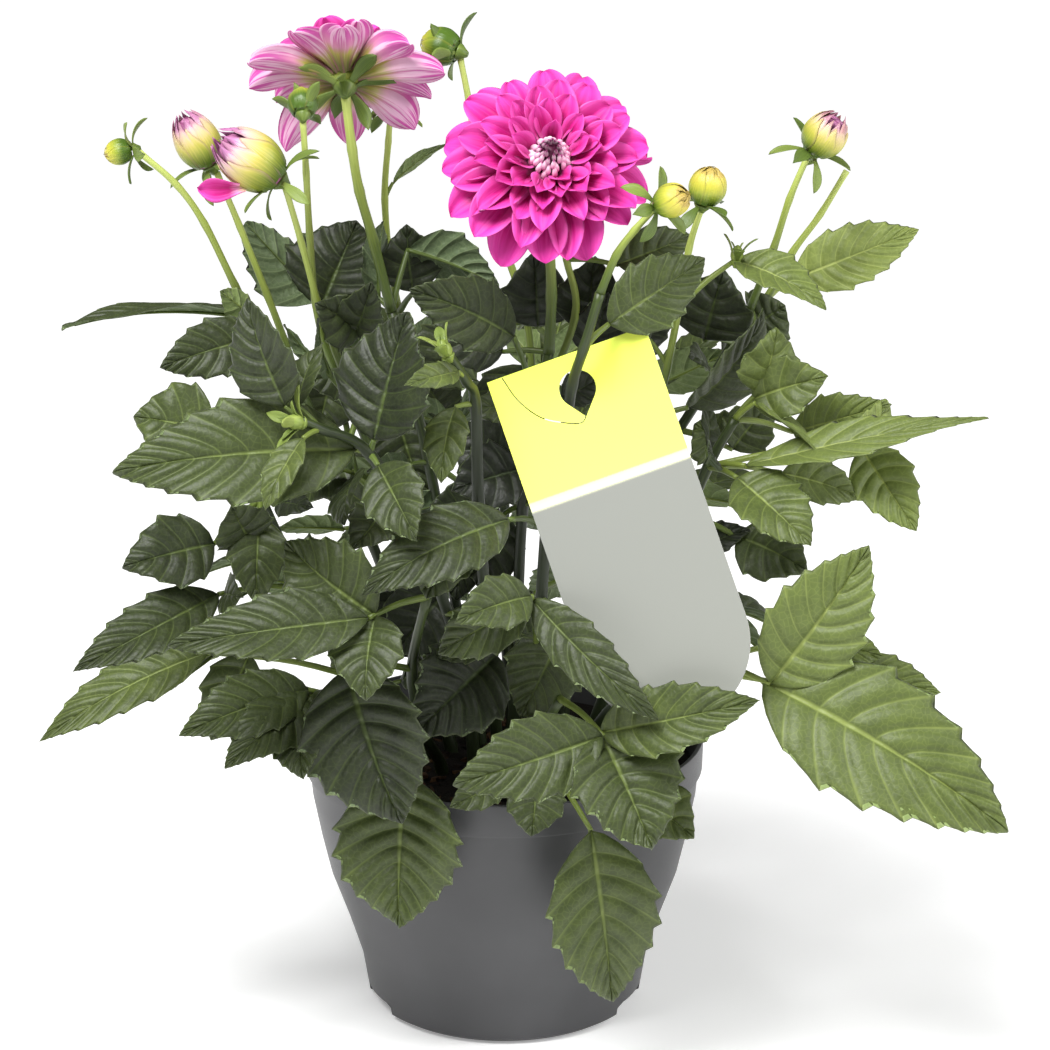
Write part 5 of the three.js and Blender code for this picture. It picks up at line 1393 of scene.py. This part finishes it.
# each measure of the outermost petal, and its change to the innermost: degrees, shares of the bloom's
# radius, millimetres, and shares of the petal's length; the claw is a share of the petal's width
PETALS = {
    "bloom_front": {"lift": (-12, 72), "length": (0.8, -0.47), "width": (0.4, -0.2), "root_radius": (9, -1.5),
                    "root_height": (2.5, 4.5), "arch": (0.08, -0.1), "claw": 0.16},
    "bloom_back": {"lift": (-14, 78), "length": (0.86, -0.68), "width": (0.44, -0.2), "root_radius": (5.5, 0),
                   "root_height": (2, 6), "arch": (0.08, -0.12), "claw": 0.3},
}
PETAL_ROWS = np.array([0.03, 0.09, 0.16, 0.24, 0.32, 0.4, 0.48, 0.56, 0.64, 0.72, 0.79, 0.85, 0.9, 0.94,
                       0.97, 0.99])
PETAL_COLUMNS = mirrored(np.array([0, 0.1, 0.21, 0.32, 0.43, 0.55, 0.67, 0.79, 0.9, 1]))
PETAL_THICKNESS = 0.35
BOTH_FACES = 0.4        # petals further in than this share of the spiral are magenta on both sides


def petal_outline(claw, widest):
    """Narrow at the claw, widest past the middle, then drawn in to a short point."""
    def outline(u):
        u = np.clip(u, 0, 1)
        opening = claw + (1 - claw) * np.sin(math.pi / 2 * np.clip(u / widest, 0, 1)) ** 1.5
        closing = np.cos(math.pi / 2 * np.clip((u - widest) / (1 - widest), 0, 1)) ** 0.48
        return np.where(u < widest, opening, closing)

    return outline


def petal(base, tip, face, width, arch, claw, rng, tone, finishes):
    """One petal; its folds and twist come from the bloom's own random numbers."""
    cup, fold, curl = rng.uniform(0.3, 0.65), rng.uniform(0.1, 0.3), rng.uniform(-0.04, 0.09)
    twist, wave, phase = rng.uniform(-0.35, 0.35), rng.uniform(0.0, 0.05), rng.uniform(0, 6.28)

    def form(u, t, v, length):
        away, swell = np.abs(t), np.sin(math.pi * np.clip(u * 0.86 + 0.07, 0, 1)) ** 0.6
        rise = arch * length * 4 * u * (1 - u) - curl * length * u ** 3 + twist * v * u
        rise = rise + width / 2 * swell * (cup * away ** 2 + fold * away ** 0.8)
        rise = rise + 0.22 * np.abs(v) * np.clip((u - 0.75) / 0.25, 0, 1) ** 2
        rise = rise + wave * width * np.sin(5 * u + phase + 1.5 * np.sign(t)) * away ** 2
        return rise + 0.06 * width / 2 * np.cos(3 * math.pi * t) * swell

    outline = petal_outline(claw, rng.uniform(0.56, 0.68))
    return blade(base, tip, face, width, PETAL_ROWS, PETAL_COLUMNS, outline, form, PETAL_THICKNESS,
                 finishes, tone, sickle=rng.uniform(-0.05, 0.05))


def petal_layers(name, axis, foot, radius, petals, roll):
    """A bloom's petals in their spiral, on the green knob that their claws spring from."""
    measures = PETALS[name]
    one, two = cross_axes(axis)
    rng = random.Random(name)
    knob = measures["root_radius"][0] + 0.8
    profile = [(0, 0.3), (0.7 * knob, 0.3), (knob, 2), (1.02 * knob, 4), (0.8 * knob, 9), (0, 9)]
    body = turned(profile, 24, foot, axis, 1, 0.2)
    body["uv"] = np.broadcast_to((0.12, 0.5), body["uv"].shape)
    parts = [body]
    for k in range(petals):
        inward = (k / (petals - 1)) ** 1.2
        size = {key: measures[key][0] + measures[key][1] * inward for key in measures if key != "claw"}
        turn = math.radians(roll + GOLDEN_ANGLE * k + rng.uniform(-7, 7))
        lift = math.radians(size["lift"] + rng.uniform(-6, 6))
        out = one * math.cos(turn) + two * math.sin(turn)
        base = foot + out * size["root_radius"] + axis * size["root_height"]
        way = out * math.cos(lift) + axis * math.sin(lift)
        tip = base + way * radius * size["length"] * rng.uniform(0.9, 1.05)
        face = axis * math.cos(lift) - out * math.sin(lift)
        parts.append(petal(base, tip, face, radius * size["width"] * rng.uniform(0.85, 1.1), size["arch"],
                           measures["claw"], rng, rng.uniform(0, 4), (0, 0 if inward > BOTH_FACES else 1)))
    make_piece(f"{name}_petal_layers", parts, [petal_face, petal_back], "petal", f"{name}_petals")


print("a petal has", len(PETAL_ROWS), "rows and", len(PETAL_COLUMNS), "columns")

# %% [markdown]
# The florets at the centre lean inwards and are longer towards the outside of the knot. A dome under
# them closes the gaps; its dark maroon is painted shade between the florets.

# %% The knot of florets, and both blooms
FLORETS = 48
KNOT_HEIGHT = 7.5
POD_STEPS = (0, 0.2, 0.42, 0.62, 0.8, 0.92, 1.0)
POD_RADII = np.array([0.8, 1.2, 1.4, 1.25, 0.85, 0.45, 0.08])


def floret_knot(name, axis, foot):
    """Closed florets that lie up a steep dome, like the scales of a bud, with their tips drawn together."""
    one, two = cross_axes(axis)
    rng = random.Random(name)
    heart = foot + axis * KNOT_HEIGHT
    # the dark maroon dome is painted shade between the florets
    dome = [(0, 0), (7.0, 0), (7.8, 1.2), (7.2, 4), (5.6, 8), (3.4, 11.4), (1.2, 13), (0, 13.2)]
    pods = [turned(dome, 24, heart, axis, 0, 1.0)]
    pods[0]["uv"] = np.broadcast_to((0.0, 0.5), pods[0]["uv"].shape)
    for k in range(FLORETS):
        share = (k + 0.5) / FLORETS
        turn, reach = math.radians(GOLDEN_ANGLE * k), math.sqrt(share)
        out = one * math.cos(turn) + two * math.sin(turn)
        root = heart + out * (0.6 + 8.7 * reach) + axis * (12.5 * (1 - reach ** 1.6) + rng.uniform(-0.5, 0.5))
        aside = np.cross(axis, out) * rng.uniform(-0.16, 0.16)
        way = unit(axis - out * (0.62 * reach - 0.12 + rng.uniform(-0.08, 0.08)) + aside)
        bow = out * (0.5 + 1.3 * share)
        size = 5.4 + 3.8 * share + rng.uniform(-0.8, 0.8)
        path = [root + way * size * s + bow * 4 * s * (1 - s) for s in POD_STEPS]
        pods.append(tube(path, POD_RADII * (0.7 + 0.35 * share), 8, 0, 0.85 * (1 - share) ** 2.6))
    make_piece(f"{name}_florets", pods, [floret_skin], "floret", f"{name}_centre")


for name, _, at, axis, radius, petals, roll in BLOOMS:
    petal_layers(name, unit(axis), np.asarray(at, float), radius, petals, roll)
    floret_knot(name, unit(axis), np.asarray(at, float))

# %% [markdown]
# ## The hang tag
# The tag is coated card, printed in two plain fields: yellow-green above, light grey below, with a pale
# stripe between. It is die cut with a round lower end, a tear-shaped hole for the stem, and a thin
# curved slit from the top edge to the hole's point, through which the card is slipped on. The outline
# with slit and hole is one closed line, filled and thickened by a flat curve, so no boolean is needed.

# %% The card and its print
# hole is the hole's radius, point is how far its point lies from its centre, and drop is how far its
# centre lies below the card's top edge
TAG = {"width": 75.0, "length": 173.0, "thickness": 0.8, "hole": 8.3, "point": 12.5, "drop": 16.0,
       "corner": (-7, -78, 330), "top_edge": (70, 0, 26), "fall": (56.6, -60, -152)}
# from the top edge to the hole's point, as (across, down)
SLIT = ((7.0, 0.0), (10.5, 12.0), (17.5, 22.5), (27.0, 28.5), (34.0, 31.0),
        (TAG["width"] / 2, TAG["drop"] + TAG["point"]))
SLIT_WIDTH = 0.5

card, shader = new_material("coated card, printed yellow-green and grey", 0.38, IOR=1.5)
flat = add_node(card, "UVMap", uv_map="millimetres")
split = add_node(card, "SeparateXYZ", {"Vector": flat.outputs["UV"]})
fibre = add_node(card, "TexNoise", {"Vector": flat.outputs["UV"], "Scale": 1.3, "Detail": 6.0})
fields = add_node(card, "ValToRGB", stops=[(0.0, "#e2f25a"), (0.16, "#f3fb6c"), (0.332, "#f8fb74"),
                  (0.336, "#f3f5b4"), (0.355, "#f3f5c4"), (0.361, "#898b85"), (1.0, "#8e9089")])
share = add_node(card, "Math", {0: split.outputs["Y"], 1: TAG["length"]}, operation="DIVIDE")
uneven = add_node(card, "Math", {0: fibre.outputs["Fac"], 1: 0.004, 2: share.outputs["Value"]},
                  operation="MULTIPLY_ADD")
card.node_tree.links.new(uneven.outputs["Value"], fields.inputs["Fac"])
feed(card, shader, fields.outputs["Color"], fibre.outputs["Fac"], 0.02)
card_edge, shader = new_material("cut edge and back of the card", 0.6)
pulp = add_node(card_edge, "TexNoise", {"Scale": 500.0, "Detail": 4.0})
whites = add_node(card_edge, "ValToRGB", {"Fac": pulp.outputs["Fac"]},
                  stops=[(0.3, "#dfe0d6"), (0.7, "#eff0e8")])
feed(card_edge, shader, whites.outputs["Color"], pulp.outputs["Fac"], 0.03)
print("card:", TAG["width"], "x", TAG["length"], "x", TAG["thickness"], "mm")

# %% [markdown]
# The card hangs from its top corner, turned to the way its top edge runs and the way it falls.

# %% The tag's outline and the tag
HOLE_TURNS = range(42, -223, -8)    # degrees round the hole, from one side of the slit to the other


def card_outline():
    """The card's rim as one closed line: down the slit, round the hole and back, then round the card."""
    half, length = TAG["width"] / 2, TAG["length"]
    path = smooth_path([(x, y, 0) for x, y in SLIT], 6)[:, :2]
    ways = np.gradient(path, axis=0)
    ways /= np.linalg.norm(ways, axis=1)[:, None]
    square = np.column_stack([-ways[:, 1], ways[:, 0]]) * SLIT_WIDTH / 2
    turns = [math.radians(a) for a in HOLE_TURNS]
    hole = [(half + TAG["hole"] * math.cos(a), TAG["drop"] + TAG["hole"] * math.sin(a)) for a in turns]
    end = [math.radians(a) for a in range(0, 181, 5)]
    round_end = [(half + half * math.cos(a), length - half + half * math.sin(a)) for a in end]
    rim = [(0, 0), *round_end[::-1], (TAG["width"], 0)]
    return [*(path + square)[:-1], *hole, *((path - square)[:-1])[::-1], *rim]


def hang_tag():
    """The card: its outline filled and thickened by a flat curve, then turned to where it hangs."""
    curve = bpy.data.curves.new("card outline", "CURVE")
    curve.dimensions, curve.fill_mode, curve.extrude = "2D", "BOTH", TAG["thickness"] / 2
    outline = card_outline()
    spline = curve.splines.new("POLY")
    spline.points.add(len(outline) - 1)
    for point, (x, y) in zip(spline.points, outline):
        point.co = (x, y, 0, 1)
    spline.use_cyclic_u = True
    holder = bpy.data.objects.new("card outline", curve)
    bpy.context.scene.collection.objects.link(holder)
    graph = bpy.context.evaluated_depsgraph_get()
    mesh = bpy.data.meshes.new_from_object(holder.evaluated_get(graph))
    bpy.data.objects.remove(holder)
    flat = np.array([v.co[:] for v in mesh.vertices])
    merged, index = np.unique(flat.round(4), axis=0, return_inverse=True)
    faces = [[int(index[i]) for i in polygon.vertices] for polygon in mesh.polygons]
    across = unit(TAG["top_edge"])
    down = unit(np.array(TAG["fall"]) - across * np.dot(TAG["fall"], across))
    back = np.cross(across, down)
    points = (np.array(TAG["corner"]) + merged[:, :1] * across + merged[:, 1:2] * down
              + (merged[:, 2:] + TAG["thickness"] / 2) * back)
    front = [0 if all(merged[i, 2] < 0 for i in face) else 1 for face in faces]
    return part(points, faces, front, merged[:, :2] / TAG["length"], merged[:, :2], 0.5)


make_piece("card_tag", [hang_tag()], [card, card_edge], "tag", "hang_tag", sharp=30)

# %% [markdown]
# ## Studio
# The plant stands on a white floor that is lit through from below, more so far from it, in a white
# room.

# %% The lit floor
FLOOR_REACH = 14
scene = bpy.context.scene
scene.view_settings.view_transform = "Standard"

floor_paint, shader = new_material("pale studio floor, lit through from below", 0.9,
                                   Emission_Color=(1, 1, 1, 1))
speck = add_node(floor_paint, "TexNoise", {"Scale": 30.0})
pale = add_node(floor_paint, "ValToRGB", {"Fac": speck.outputs["Fac"]},
                stops=[(0.0, "#f6f6f6"), (1.0, "#fbfbfb")])
feed(floor_paint, shader, pale.outputs["Color"])
place = add_node(floor_paint, "TexCoord")
far = add_node(floor_paint, "VectorMath", {0: place.outputs["Object"]}, operation="LENGTH")
glow = add_node(floor_paint, "MapRange", {"Value": far.outputs["Value"], "From Min": 0.45, "From Max": 4.0,
                "To Min": 0.27, "To Max": 1.1})
floor_paint.node_tree.links.new(glow.outputs["Result"], shader.inputs["Emission Strength"])
mesh = bpy.data.meshes.new("floor")
corners = [(x * FLOOR_REACH, y * FLOOR_REACH, 0) for x, y in ((-1, -1), (1, -1), (1, 1), (-1, 1))]
mesh.from_pydata(corners, [], [(0, 1, 2, 3)])
mesh.materials.append(floor_paint)
floor = bpy.data.objects.new("floor", mesh)
scene.collection.objects.link(floor)
print("floor:", 2 * FLOOR_REACH, "m square")

# %% [markdown]
# Light comes softly from all round, with a large lamp above and in front and a weaker one at the
# right. The camera stands back with a long lens and looks a little down, as in the photo.

# %% Room, lamps and camera
ROOM_LIGHT = 0.16
AIM = np.array([0.0, 0.0, 0.25])    # the middle of the plant, which the lamps point at
FOCAL_LENGTH = 134.57
CAMERA_PLACE = (0.010, -1.765, 0.805)
LOOK_DOWN = 17.8

world = bpy.data.worlds.new("white room")
world.use_nodes = True
world.node_tree.nodes["Background"].inputs["Color"].default_value = (1, 1, 1, 1)
world.node_tree.nodes["Background"].inputs["Strength"].default_value = ROOM_LIGHT
scene.world = world


def soft_lamp(name, place, size, power):
    """A large round lamp that points at the plant."""
    lamp = bpy.data.lights.new(name, "AREA")
    lamp.energy, lamp.shape, lamp.size = power, "DISK", size
    holder = bpy.data.objects.new(name, lamp)
    holder.location = place
    way = unit(AIM - place)
    holder.rotation_euler = (math.acos(-way[2]), 0, math.atan2(way[1], way[0]) - math.pi / 2)
    scene.collection.objects.link(holder)


soft_lamp("soft key lamp", (-0.55, -0.8, 1.8), 1.0, 58)
soft_lamp("soft fill lamp", (1.3, -0.5, 1.0), 1.0, 16)

lens = bpy.data.cameras.new("camera")
lens.sensor_width, lens.lens, lens.clip_end = 36, FOCAL_LENGTH, 40
camera = bpy.data.objects.new("camera", lens)
camera.location = CAMERA_PLACE
camera.rotation_euler = (math.radians(90 - LOOK_DOWN), 0, 0)
scene.collection.objects.link(camera)
scene.camera = camera
print("studio:", len(bpy.data.lights), "lamps and a", round(lens.lens), "mm lens")
